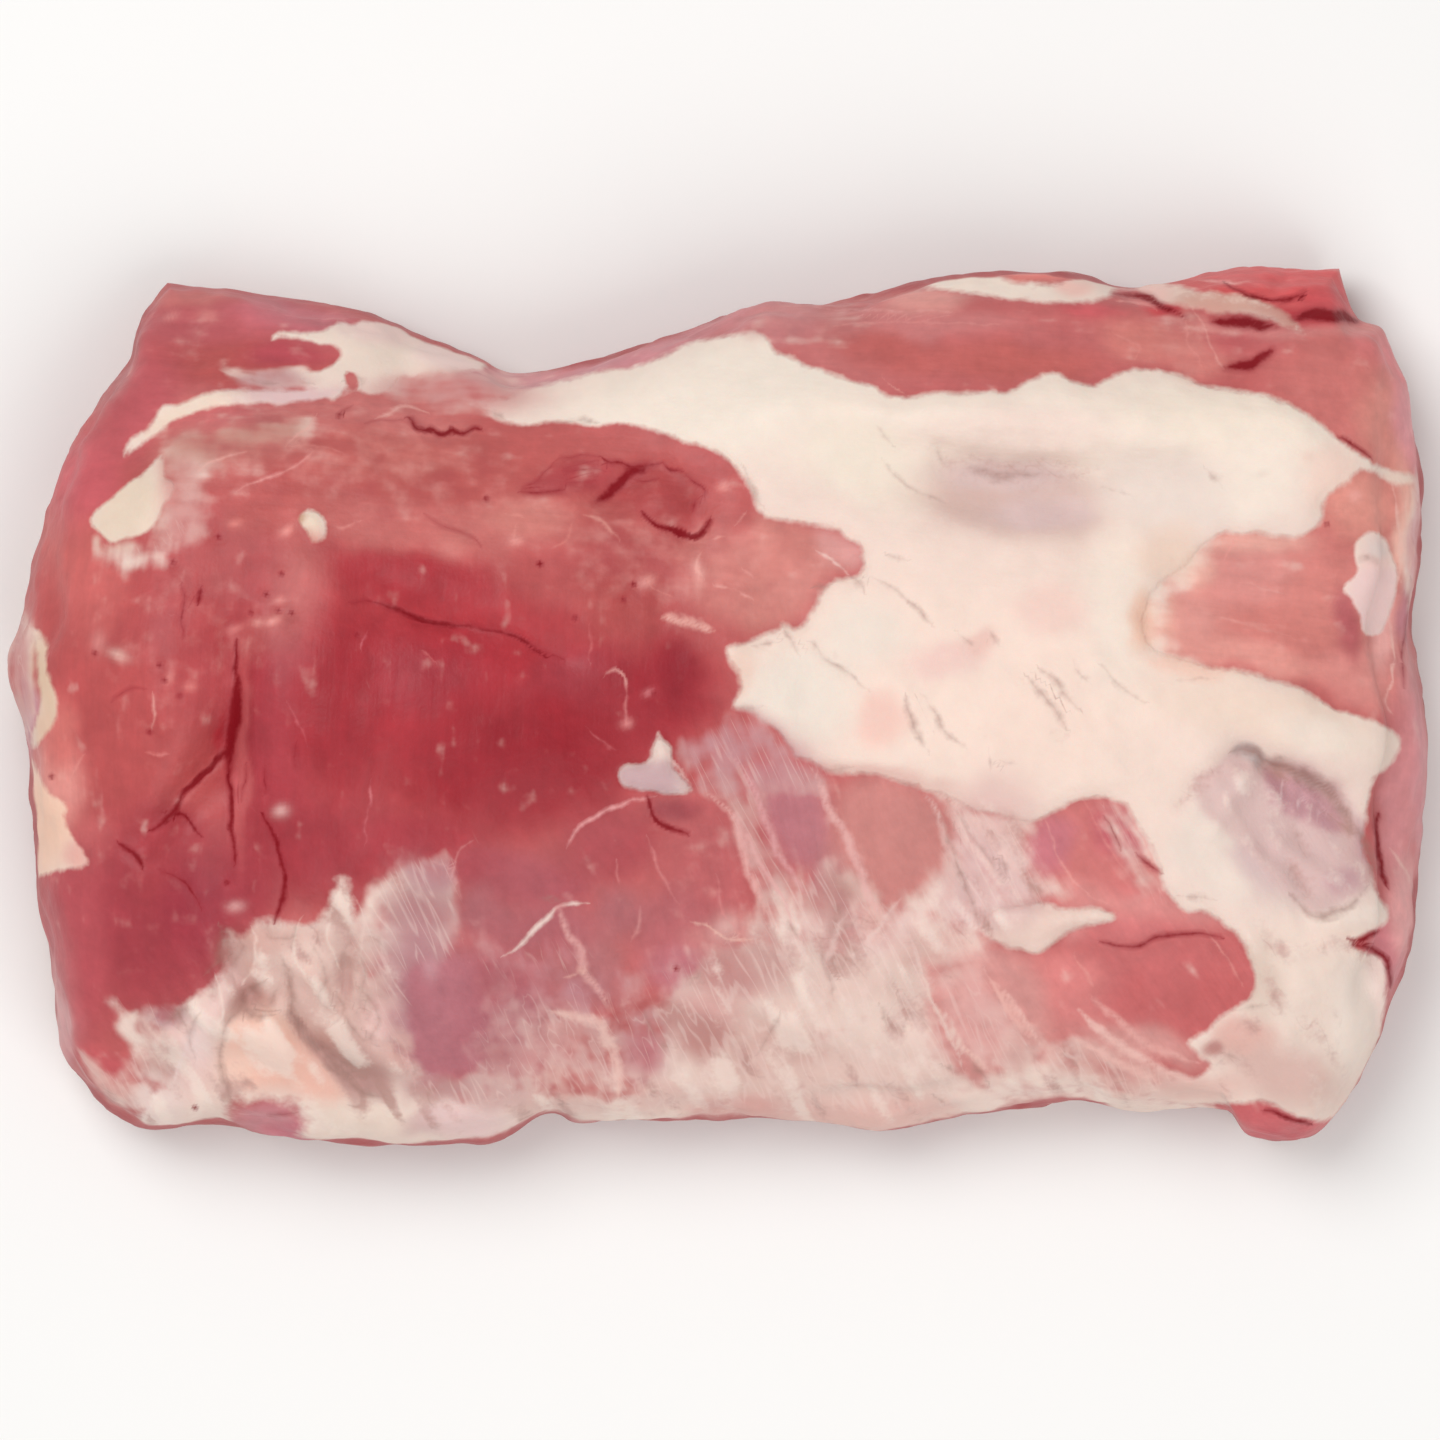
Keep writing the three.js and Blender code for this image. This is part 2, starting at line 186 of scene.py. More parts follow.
# Firm fat: name, the width over which its edge thins out, outline.
FAT = [
    ("fat cap", 0.9, [
        (-50.5, 60.3), (-46, 60.6), (-41, 61.5), (-38, 63), (-30, 65.3), (-20, 67), (-12, 69.3), (-5, 72.2),
        (1, 73.2), (6.5, 75), (9.5, 73), (11, 70.5), (17, 68), (22, 66), (27, 64.3), (31, 63.8), (33, 62),
        (37, 61), (42, 62), (50, 62), (57, 62.3), (62, 64), (67, 66), (71, 64.3), (75, 63.6), (79, 65),
        (83, 66.6), (88, 66.3), (93, 65), (99, 63), (105, 62), (111, 60.5), (117, 57.8), (121, 55),
        (125, 51.8), (131, 48), (136, 46.6), (139, 45.6), (138.5, 44.4), (134, 44.6), (131, 46), (128, 46.6),
        (125.4, 44.2), (122.4, 42), (120.6, 40), (120.6, 37.6), (118.6, 34.8), (115, 33.2), (110.5, 33),
        (107, 34), (103, 33.6), (100, 34), (96.5, 31.6), (93.6, 28.6), (91, 26), (88, 23.4), (85.4, 20.4),
        (84.4, 17), (85, 13.4), (87.6, 11), (92, 9.8), (97, 8.4), (103, 6.4), (109, 5.6), (115, 4),
        (120, 0.6), (125, -1.2), (130, -2.6), (134, -5), (135.5, -8), (133.5, -12), (130, -16), (129, -22),
        (128, -27), (130, -33), (131, -37.5), (133.5, -40), (133, -43), (129.5, -45), (126.4, -46.2),
        (126.2, -47.8), (129, -48.8), (132.6, -50.6), (133.6, -56), (133.2, -61), (132, -67), (129.5, -73),
        (126, -79), (122.5, -82.7), (118, -82.5), (113, -80.4), (108, -78.6), (102, -79.6), (94, -79.6),
        (86, -78), (88, -75.6), (95, -73.8), (98, -71.3), (95.5, -69), (93, -66.5), (97, -64.5), (99, -62.3),
        (103, -60), (106.4, -56), (105.8, -50), (104, -45.6), (101, -43.6), (97, -40.6), (92, -40),
        (89.4, -37), (87.6, -32), (86, -28), (83.6, -24), (81.8, -20.6), (79, -18.4), (74, -17.8), (70, -19),
        (65.5, -22), (61, -23.4), (55, -22), (50, -20.6), (47, -18.3), (43, -16.8), (37, -15.5), (32, -14.2),
        (25, -13.5), (21, -13), (18.5, -11), (15, -9.8), (13.5, -7), (10, -3.5), (6, -1.3), (3, -0.5),
        (4.3, 3), (4.3, 5.5), (2.5, 8.5), (2, 11.5), (6, 12.8), (11, 14.8), (13, 16.4), (15, 15.6),
        (17, 16.2), (19, 19), (20.3, 22), (23.5, 24.7), (28, 25.6), (29, 28), (27.4, 31), (24.4, 33.4),
        (20, 35), (14.6, 36.4), (9.4, 37.6), (7.4, 39.4), (6.4, 42.4), (5.2, 45.6), (2.8, 48.8),
        (-1.6, 51.4), (-6, 52), (-11, 53.8), (-17, 55.2), (-22, 56), (-29, 56), (-34, 56.4), (-41, 56.4),
        (-45, 58), (-48, 59.6),
    ]),
    ("white patch by the flap", 0.6, [
        (-124, 38), (-122.4, 40), (-119.4, 42.6), (-116, 44.6), (-113, 47), (-110.5, 49.6), (-109.4, 49.5),
        (-109.4, 45.5), (-107.4, 44), (-107.8, 41.6), (-109.6, 39.6), (-110.6, 36.6), (-113, 34.6),
        (-117, 33.2), (-120, 32.8), (-121.5, 34.4), (-124, 36),
    ]),
    ("fat on the flap", 0.7, [
        (-88.6, 72.8), (-87.5, 74.3), (-82, 74.5), (-78, 75), (-75.5, 76.6), (-73, 76), (-71, 77),
        (-65, 76.6), (-62.5, 75.5), (-60, 73.4), (-54, 72), (-50, 70.2), (-46, 67.4), (-52, 66), (-58, 66),
        (-62.5, 65), (-64.5, 63), (-67, 61.6), (-69.5, 62), (-71, 62.6), (-73, 62.4), (-75, 60.6),
        (-77, 60.8), (-79, 62.6), (-83, 66), (-78, 67), (-75.5, 68.6), (-74.6, 70.2), (-76.5, 72),
        (-79, 72.4), (-82, 73.2), (-86, 73.2),
    ]),
    ("lower arm of the flap's fat", 0.8, [
        (-117.6, 49.6), (-116.6, 52.6), (-113, 54.8), (-111.4, 57), (-110, 59.6), (-107, 59.6), (-103, 61),
        (-98, 63), (-92, 63), (-84, 62.8), (-78, 63.2), (-74, 62.8), (-73.5, 61.6), (-80, 60.8), (-88, 60),
        (-97, 60), (-102, 58.4), (-107, 56.4), (-110, 54.6), (-113, 52.4), (-115.6, 50.6),
    ]),
    ("wedge at the left end", 0.8, [
        (-139, -8), (-137, -10), (-135, -13.5), (-132.5, -17.5), (-129, -19.8), (-130, -22), (-128.6, -25),
        (-125.5, -29), (-125, -31.2), (-131, -32.5), (-138, -31.5),
    ]),
    ("seam at the left end", 0.8, [
        (-136.2, 15.6), (-134.4, 15.2), (-132.8, 12), (-132.4, 7), (-131.2, 2), (-131, -2), (-133, -5.4),
        (-136, -9), (-136.6, -7), (-135.4, -3), (-134.6, 1), (-134.4, 6), (-134.8, 11),
    ]),
    ("low left fat", 1.4, [
        (-110, -63), (-107.6, -62.4), (-104.5, -58), (-100, -55), (-97, -51), (-96.4, -45), (-94, -46),
        (-91, -42.6), (-88, -42.2), (-84, -43), (-81, -43), (-78, -41.4), (-76, -37.4), (-74.6, -33.6),
        (-73, -35.6), (-71.6, -40), (-72, -46), (-70, -52), (-69, -58), (-66, -64), (-62, -70), (-58, -76),
        (-50, -79), (-44, -78), (-38, -77), (-34, -80), (-40, -86), (-50, -88), (-66, -89.5), (-80, -88.5),
        (-84, -86.5), (-86, -80.5), (-90, -78.5), (-95, -79.5), (-98, -84), (-105, -85.5), (-112, -86),
        (-116, -84), (-113, -78), (-109, -74), (-110, -69),
    ]),
    ("rim at the front", 1.6, [
        (-36, -79.5), (-20, -81), (0, -79.5), (20, -80), (40, -80.5), (60, -78.5), (75, -77), (88, -78),
        (100, -80.6), (84, -83), (72, -81), (48, -83.6), (34, -86), (20, -84.8), (-5, -83.6), (-26, -85),
    ]),
    ("strip at the back", 0.9, [
        (40, 83.6), (44, 82.8), (52, 82), (60, 81), (65, 80.3), (72, 80.4), (78, 82), (80, 83.6), (88, 83),
        (92, 82.6), (88, 85.2), (80, 86), (70, 87.4), (58, 87.4), (46, 86.6), (42, 85.2),
    ]),
    ("tongue beside the windows", 0.8, [
        (53, -42), (59, -39.6), (64, -38.6), (69, -40.4), (74, -39.8), (78.4, -41), (78.6, -42.4),
        (75, -43.4), (71.6, -44.2), (67.6, -46.6), (64, -48.6), (58, -47.5), (53, -45),
    ]),
    ("peak beside the eye", 0.6, [
        (-19, -12.4), (-17, -11.2), (-13.4, -11), (-12.6, -8), (-11.6, -5), (-10.8, -6.5), (-9, -8.6),
        (-8.4, -12), (-5.4, -14.6), (-5, -17), (-10, -17.2), (-18, -16.4), (-19.2, -14.4),
    ]),
    ("nub at the right end", 0.6, [
        (130, 35), (132.4, 34.4), (134.2, 32), (135.2, 27), (135, 22), (134, 18), (132.6, 14.8), (130, 13.6),
        (128, 15), (127.4, 18), (125.6, 21), (124, 23.4), (126.2, 25.2), (127, 27.4), (126.4, 29.6),
        (126.8, 32.4), (128.2, 34.4),
    ]),
    ("tissue at the back corner", 0.9, [
        (83, 84.6), (88, 84.6), (94, 83.2), (100, 82), (106, 81.2), (111, 79), (116.6, 74.4), (113, 75),
        (109, 76.6), (105, 77.6), (99, 78.2), (92, 79.8), (86, 81.6),
    ]),
    ("nub above the eye", 0.6, [
        (-82.8, 37.2), (-80.8, 38.6), (-78.4, 37.8), (-77, 35), (-77.8, 32.4), (-79.8, 32), (-80.8, 34),
        (-82, 35.4),
    ]),
]

# Lean that shows through the fat: name, edge, outline.
BARE = [
    ("wedge in the lobe", 0.8, [
        (16, 31.4), (21, 31.8), (24, 30), (26.6, 28.4), (29, 30.4), (27, 33), (22, 35.4), (17, 35),
    ]),
    ("red patch on the strip", 1.4, [
        (57, 85.6), (61, 84.2), (67, 84), (69.4, 85.6), (66, 86.8), (60, 86.6),
    ]),
    ("lean in the low left fat", 2.2, [
        (-97, -80), (-90, -78.6), (-84, -80), (-82, -84), (-86, -88), (-95, -86),
    ]),
    ("hole beside the flap's fat", 0.5, [
        (-73.6, 66), (-71.4, 65.4), (-70.8, 63.6), (-72, 62.8), (-73.4, 64),
    ]),
]

# Thin skin beside the peak, which is both cover and colour.
MEMBRANE = [
    (-8, -8.5), (-2, -6), (2, -2.4), (8, -2), (13, -6.5), (16, -10.5), (21, -12.6), (20, -18), (10, -17),
    (2, -19), (-4, -17), (-5.4, -13),
]

# Thin silvery skin and thin fat over the lean: name, edge, how much it covers, outline.
VEIL = [
    ("lilac skin at the eye's front edge", 2.4, 0.75, [
        (-70, -38), (-66, -34), (-60, -30.5), (-55, -29.5), (-52, -31), (-51, -36), (-50.4, -44), (-53, -50),
        (-60, -52), (-66, -56), (-72, -52), (-74, -44),
    ]),
    ("edge of the mauve window", 2.4, 0.6, [
        (-72, -50), (-64, -50), (-61, -56), (-60.6, -64), (-59, -71), (-54, -73.6), (-46, -73), (-44, -80),
        (-66, -82), (-74, -70),
    ]),
    ("thin skin of the lower middle", 5, 0.1, [
        (-48, -47), (-42, -47), (-34, -46), (-26, -47), (-22, -52), (-16, -52), (-8, -50), (-8, -60),
        (-18, -74), (-44, -66), (-48, -52),
    ]),
    ("between the columns", 5, 0.42, [
        (-46, -60), (-38, -56), (-30, -56), (-22, -60), (-10, -60), (-8, -80), (-46, -80),
    ]),
    ("first pale column", 2, 0.66, [
        (-41.6, -58), (-38.6, -59), (-37, -64), (-36, -76), (-41, -80), (-41, -70),
    ]),
    ("second pale column", 2.2, 0.68, [
        (-34.6, -59), (-31.6, -60), (-31, -66), (-32, -78), (-36, -79), (-35, -68),
    ]),
    ("third pale column", 2.2, 0.7, [
        (-31, -55.6), (-27.6, -53.6), (-25.4, -58), (-23.4, -62), (-20.4, -67), (-19, -78), (-25, -80),
        (-25.6, -70), (-28.6, -62),
    ]),
    ("fourth pale column", 2.4, 0.7, [
        (-18, -61.6), (-12, -59), (-7, -58), (-3, -54), (-1, -62), (-4, -72), (-5, -82), (-18, -82),
        (-9, -76), (-8, -68), (-13, -64), (-18, -65),
    ]),
    ("foot of the lower middle", 2.4, 0.95, [
        (-58, -76), (-50, -73.6), (-44, -73), (-38, -76), (-30, -76.6), (-20, -77), (-8, -77), (-4, -84),
        (-34, -84), (-50, -88), (-60, -84),
    ]),
    ("membrane beside the peak", 3, 0.5, MEMBRANE),
    ("streaks between the lobes", 4.5, 0.66, [
        (2, -18), (8, -15), (11, -26), (17, -33), (22, -30), (27, -33), (34, -38.6), (40, -40), (48, -40),
        (56, -46), (46, -52), (20, -56), (-6, -56), (-5, -50), (2, -49), (8, -43), (7, -34), (3, -25),
    ]),
    ("front slope", 4, 1.15, [
        (-8, -56), (-2, -50), (6, -47), (12, -45), (17, -44.6), (22, -47), (28, -45), (36, -45), (42, -47),
        (42, -52), (43, -60), (46, -68), (50, -74), (58, -77), (60, -84), (-10, -84), (-14, -72),
    ]),
    ("streaks left of the first window", 4, 0.85, [
        (44, -17), (50, -19.6), (56, -21), (62, -22.6), (62.4, -28), (64, -33), (68, -36), (64, -40),
        (56, -46), (50, -45), (42, -43), (37, -40), (42, -34), (45, -28), (46, -20),
    ]),
    ("thin skin of the low pink window", 3, 0.5, [
        (42, -54), (47, -51), (52, -51), (55, -56), (58, -61), (64, -66), (66, -72), (60, -74), (54, -72),
        (50, -71), (48, -66), (45, -60),
    ]),
    ("below the second window", 3, 0.8, [
        (62, -70), (66, -68), (72, -65), (82, -69), (90, -72.6), (97, -74), (90, -79), (72, -79), (58, -79),
        (52, -74),
    ]),
    ("thin skin on the first window", 3, 0.25, [
        (78, -18), (84, -22), (92, -36), (86, -38), (80, -31), (75, -21),
    ]),
    ("lilac bits beside the low left fat", 2.4, 0.5, [
        (-115, -60), (-109, -59), (-103, -60), (-103, -68), (-108, -74), (-117, -76), (-122, -74),
        (-117, -69),
    ]),
    ("below the white patch", 2.4, 0.35, [(-124, 34), (-116, 33), (-110, 34), (-109, 28), (-120, 27)]),
    ("beside the white patch", 4, 0.62, [
        (-109, 51.4), (-105, 53.6), (-100, 55), (-95, 56.8), (-88, 57), (-80, 57), (-82, 52.5), (-88, 50),
        (-94, 50), (-98, 47.6), (-100.4, 44), (-100.4, 38), (-100.4, 33.6), (-105, 31.4), (-111, 31),
        (-110.5, 38), (-108, 43), (-109.5, 47),
    ]),
    ("grey skin on the flap", 1.2, 0.8, [
        (-99, 66.8), (-95, 64.4), (-90, 63), (-82, 63), (-79, 63.4), (-81, 66.8), (-86, 67.6), (-92, 67),
        (-96, 67.6),
    ]),
    ("along the flap", 3, 0.5, [
        (-66, 66.5), (-50, 67.6), (-42, 66), (-38, 63.5), (-44, 58.5), (-52, 58), (-60, 59.5), (-66, 61),
    ]),
    ("left edge", 2, 0.5, [
        (-142, 20), (-136, 17), (-134.6, 8), (-135, 0), (-137, -6), (-139, -8), (-142, 8),
    ]),
    ("over the tip of the salmon muscle", 5, 0.55, [
        (80, 12), (80, 22), (88, 30), (95, 33), (97, 29), (91, 22), (90, 14), (95, 9), (88, 7),
    ]),
    ("right edge", 1.2, 0.78, [(138.6, 46), (141.4, 44), (141.4, 30), (139.4, 18), (137, 22), (137, 34)]),
    ("pale streaks at the low left corner", 1.8, 0.62, [
        (-121, -58.4), (-118.6, -58), (-117, -60.4), (-114.6, -60), (-114.8, -63.6), (-111.6, -64.6),
        (-111.4, -68), (-108.6, -71.6), (-112, -73.4), (-115, -71.4), (-117.4, -72), (-117, -67.6),
        (-119.4, -64.4), (-118.8, -61),
    ]),
    ("low left corner", 1.8, 0.7, [
        (-127.6, -68.6), (-124, -70.4), (-119, -73.6), (-113, -75), (-111, -79), (-116, -81), (-121, -78.6),
        (-126, -74),
    ]),
    ("shredded end of the strap", 4, -0.1, [
        (88, 79), (96, 80), (104, 76), (103, 70), (100, 66), (92, 66), (86, 70),
    ]),
    ("thin tip of the strap", 4, 0.05, [(6, 76), (12, 80), (24, 81), (30, 77), (22, 71), (12, 71)]),
]

# Where the fat lies in soft rumples: name, edge, how strong, outline.
RUMPLED = [
    ("low left fat", 4, 1, [
        (-114, -60), (-100, -50), (-92, -41), (-76, -36), (-62, -32), (-62, -50), (-58, -70), (-50, -84),
        (-116, -86), (-124, -76),
    ]),
    ("front slope", 6, 0.9, [
        (-50, -76), (-20, -74), (-8, -54), (2, -46), (16, -34), (30, -38), (42, -42), (44, -30), (50, -20),
        (62, -24), (66, -40), (52, -48), (46, -58), (50, -74), (56, -82), (-50, -86),
    ]),
    ("below the second window", 4, 0.8, [(62, -68), (84, -68), (100, -74), (100, -80), (60, -80)]),
    ("corner pad", 8, 0.5, [
        (92, -38), (112, -40), (130, -46), (130, -70), (118, -82), (98, -76), (104, -62),
    ]),
    ("joint", 3, 0.6, [(94, -15), (108, -9), (128, -18), (130, -36), (122, -42), (106, -32)]),
    ("middle of the cap", 12, 0.15, [(20, 20), (80, 20), (90, -10), (40, -14), (10, 0)]),
]

# Folds and ridges of fat and skin: width, rise, line.
RIDGES = [
    (3.2, 1.5, [(-99, -52), (-98, -58), (-97.6, -64)]),
    (5, 1.6, [(-97, -66), (-91, -65.4), (-86, -67)]),
    (3.4, 1.1, [(-95, -43), (-90, -47), (-91, -54)]),
    (3, 1, [(-84, -42), (-86, -48), (-82, -53), (-77, -52), (-77, -47)]),
    (3.4, 1.2, [(-83, -58), (-77, -65), (-70, -70), (-62, -72)]),
    (3, -1.3, [(-85, -61), (-79, -68.4), (-73, -73), (-64, -76)]),
    (2.6, -1.1, [(-93, -58.4), (-89, -60), (-87, -57)]),
    (2.6, -1, [(-97, -47), (-96, -53), (-93, -57)]),
    (3.4, -1.2, [(-96, -76), (-90, -75), (-84, -77)]),
    (3, 1.2, [(-112, -76), (-108, -80), (-104, -80)]),
    (2.6, 0.9, [(-104, -61), (-107, -68), (-109, -74)]),
    (3, 0.8, [(-72, -38), (-71, -46), (-70, -56)]),
    (2.4, 0.6, [(-66, -52), (-64, -60), (-60, -68)]),
    (3, 0.8, [(-19, -60), (-12.5, -58), (-5, -60), (0, -66), (2, -75)]),
    (2.4, 0.7, [(-36, -62), (-35.4, -70), (-36.6, -78)]),
    (3.2, 0.9, [(-22.5, -62.5), (-20.6, -72), (-20, -79)]),
    (3, 0.7, [(30, -47), (33, -58), (32, -68)]),
    (2.6, -0.6, [(24, -42), (23, -52), (22, -62)]),
    (2.6, 0.6, [(16, -44), (17, -56), (14, -66)]),
    (2.6, -0.6, [(44, -24), (49, -34), (55, -44)]),
    (2.6, 0.6, [(48, -22), (54, -32), (61, -40)]),
    (4, 0.8, [(56, -42), (66, -42), (76, -42)]),
    (3, -0.9, [(103, -10), (97, -14), (92, -19)]),
    (2.6, 0.8, [(106, -13), (101, -19), (98, -25)]),
    (3, -1.1, [(111, -14), (117, -18.4), (123, -23.4)]),
    (2.2, 0.8, [(112, -27), (117, -31), (122, -34)]),
    (2.2, -0.6, [(108, -27), (113, -32), (117, -37)]),
    (3.4, 1.2, [(119, -42), (126, -42.6), (132, -41.4)]),
    (3, -1, [(112, -48), (120, -48), (127, -47.6)]),
    (4, -0.7, [(108, -52), (110, -58), (107, -64)]),
    (3.6, 0.8, [(112, -66), (118, -74), (120, -80)]),
    (3.4, -0.8, [(100, -70), (106, -73), (110, -78)]),
    (5, 0.7, [(34, 56), (60, 55), (92, 52)]),
    (6, -0.7, [(46, 47), (58, 45.6), (70, 46)]),
    (3.4, 0.5, [(38, 40), (48, 36), (58, 32)]),
    (3, 0.5, [(64, 8), (70, 2), (73, -4)]),
    (3, -0.5, [(61, 6), (66, 0), (69, -6)]),
    (3.4, 0.5, [(36, 4), (40, -4), (43, -10)]),
    (2.6, -0.5, [(20, 12), (26, 7), (31, 2)]),
    (3, 0.4, [(74, 9), (80, 5), (86, 1)]),
    (3.2, 0.9, [(-110, 58), (-103, 60.4), (-94, 61.6)]),
    (2.4, 0.7, [(-84, 73.6), (-77, 73), (-70, 74)]),
    (2, -1.8, [(79, 82), (86, 80.6), (92, 78.2), (100, 77.2), (110, 76.6), (120, 77.8), (129, 77.4)]),
    (3, 1.1, [(80, 78.6), (88, 77), (96, 74.8), (108, 73.8), (120, 74.8), (131, 75)]),
    (2, 1, [(92, 82.6), (100, 81), (108, 79.6), (115, 76)]),
    (1.8, -1, [(99, 67), (105, 67.8), (110, 70.2)]),
    (1.8, -0.5, [(43.6, 52), (46, 48.6), (51, 49.4), (58, 48), (66, 48.6), (76, 47)]),
    (2.2, 0.6, [(44, 53.4), (52, 52), (62, 51), (72, 51)]),
    (1.8, 0.8, [(110, -15), (112, -19.6)]),
    (1.6, 0.8, [(114.6, -15.8), (114.4, -21)]),
    (1.6, 0.8, [(118, -17.6), (117.6, -22.4)]),
    (2, -1.4, [(108, -11.6), (113, -12.6), (119, -15.6), (124.4, -20), (125.4, -25)]),
    (1.8, -0.8, [(-89.6, -52), (-86, -55), (-86.6, -60), (-82.6, -62.6)]),
    (1.8, -0.8, [(-79, -47), (-80, -52), (-76, -56), (-77, -60)]),
    (1.8, -0.9, [(-74, -50), (-73, -56), (-76, -62)]),
    (1.6, 0.8, [(-72, -58), (-69.6, -63), (-66, -66)]),
]

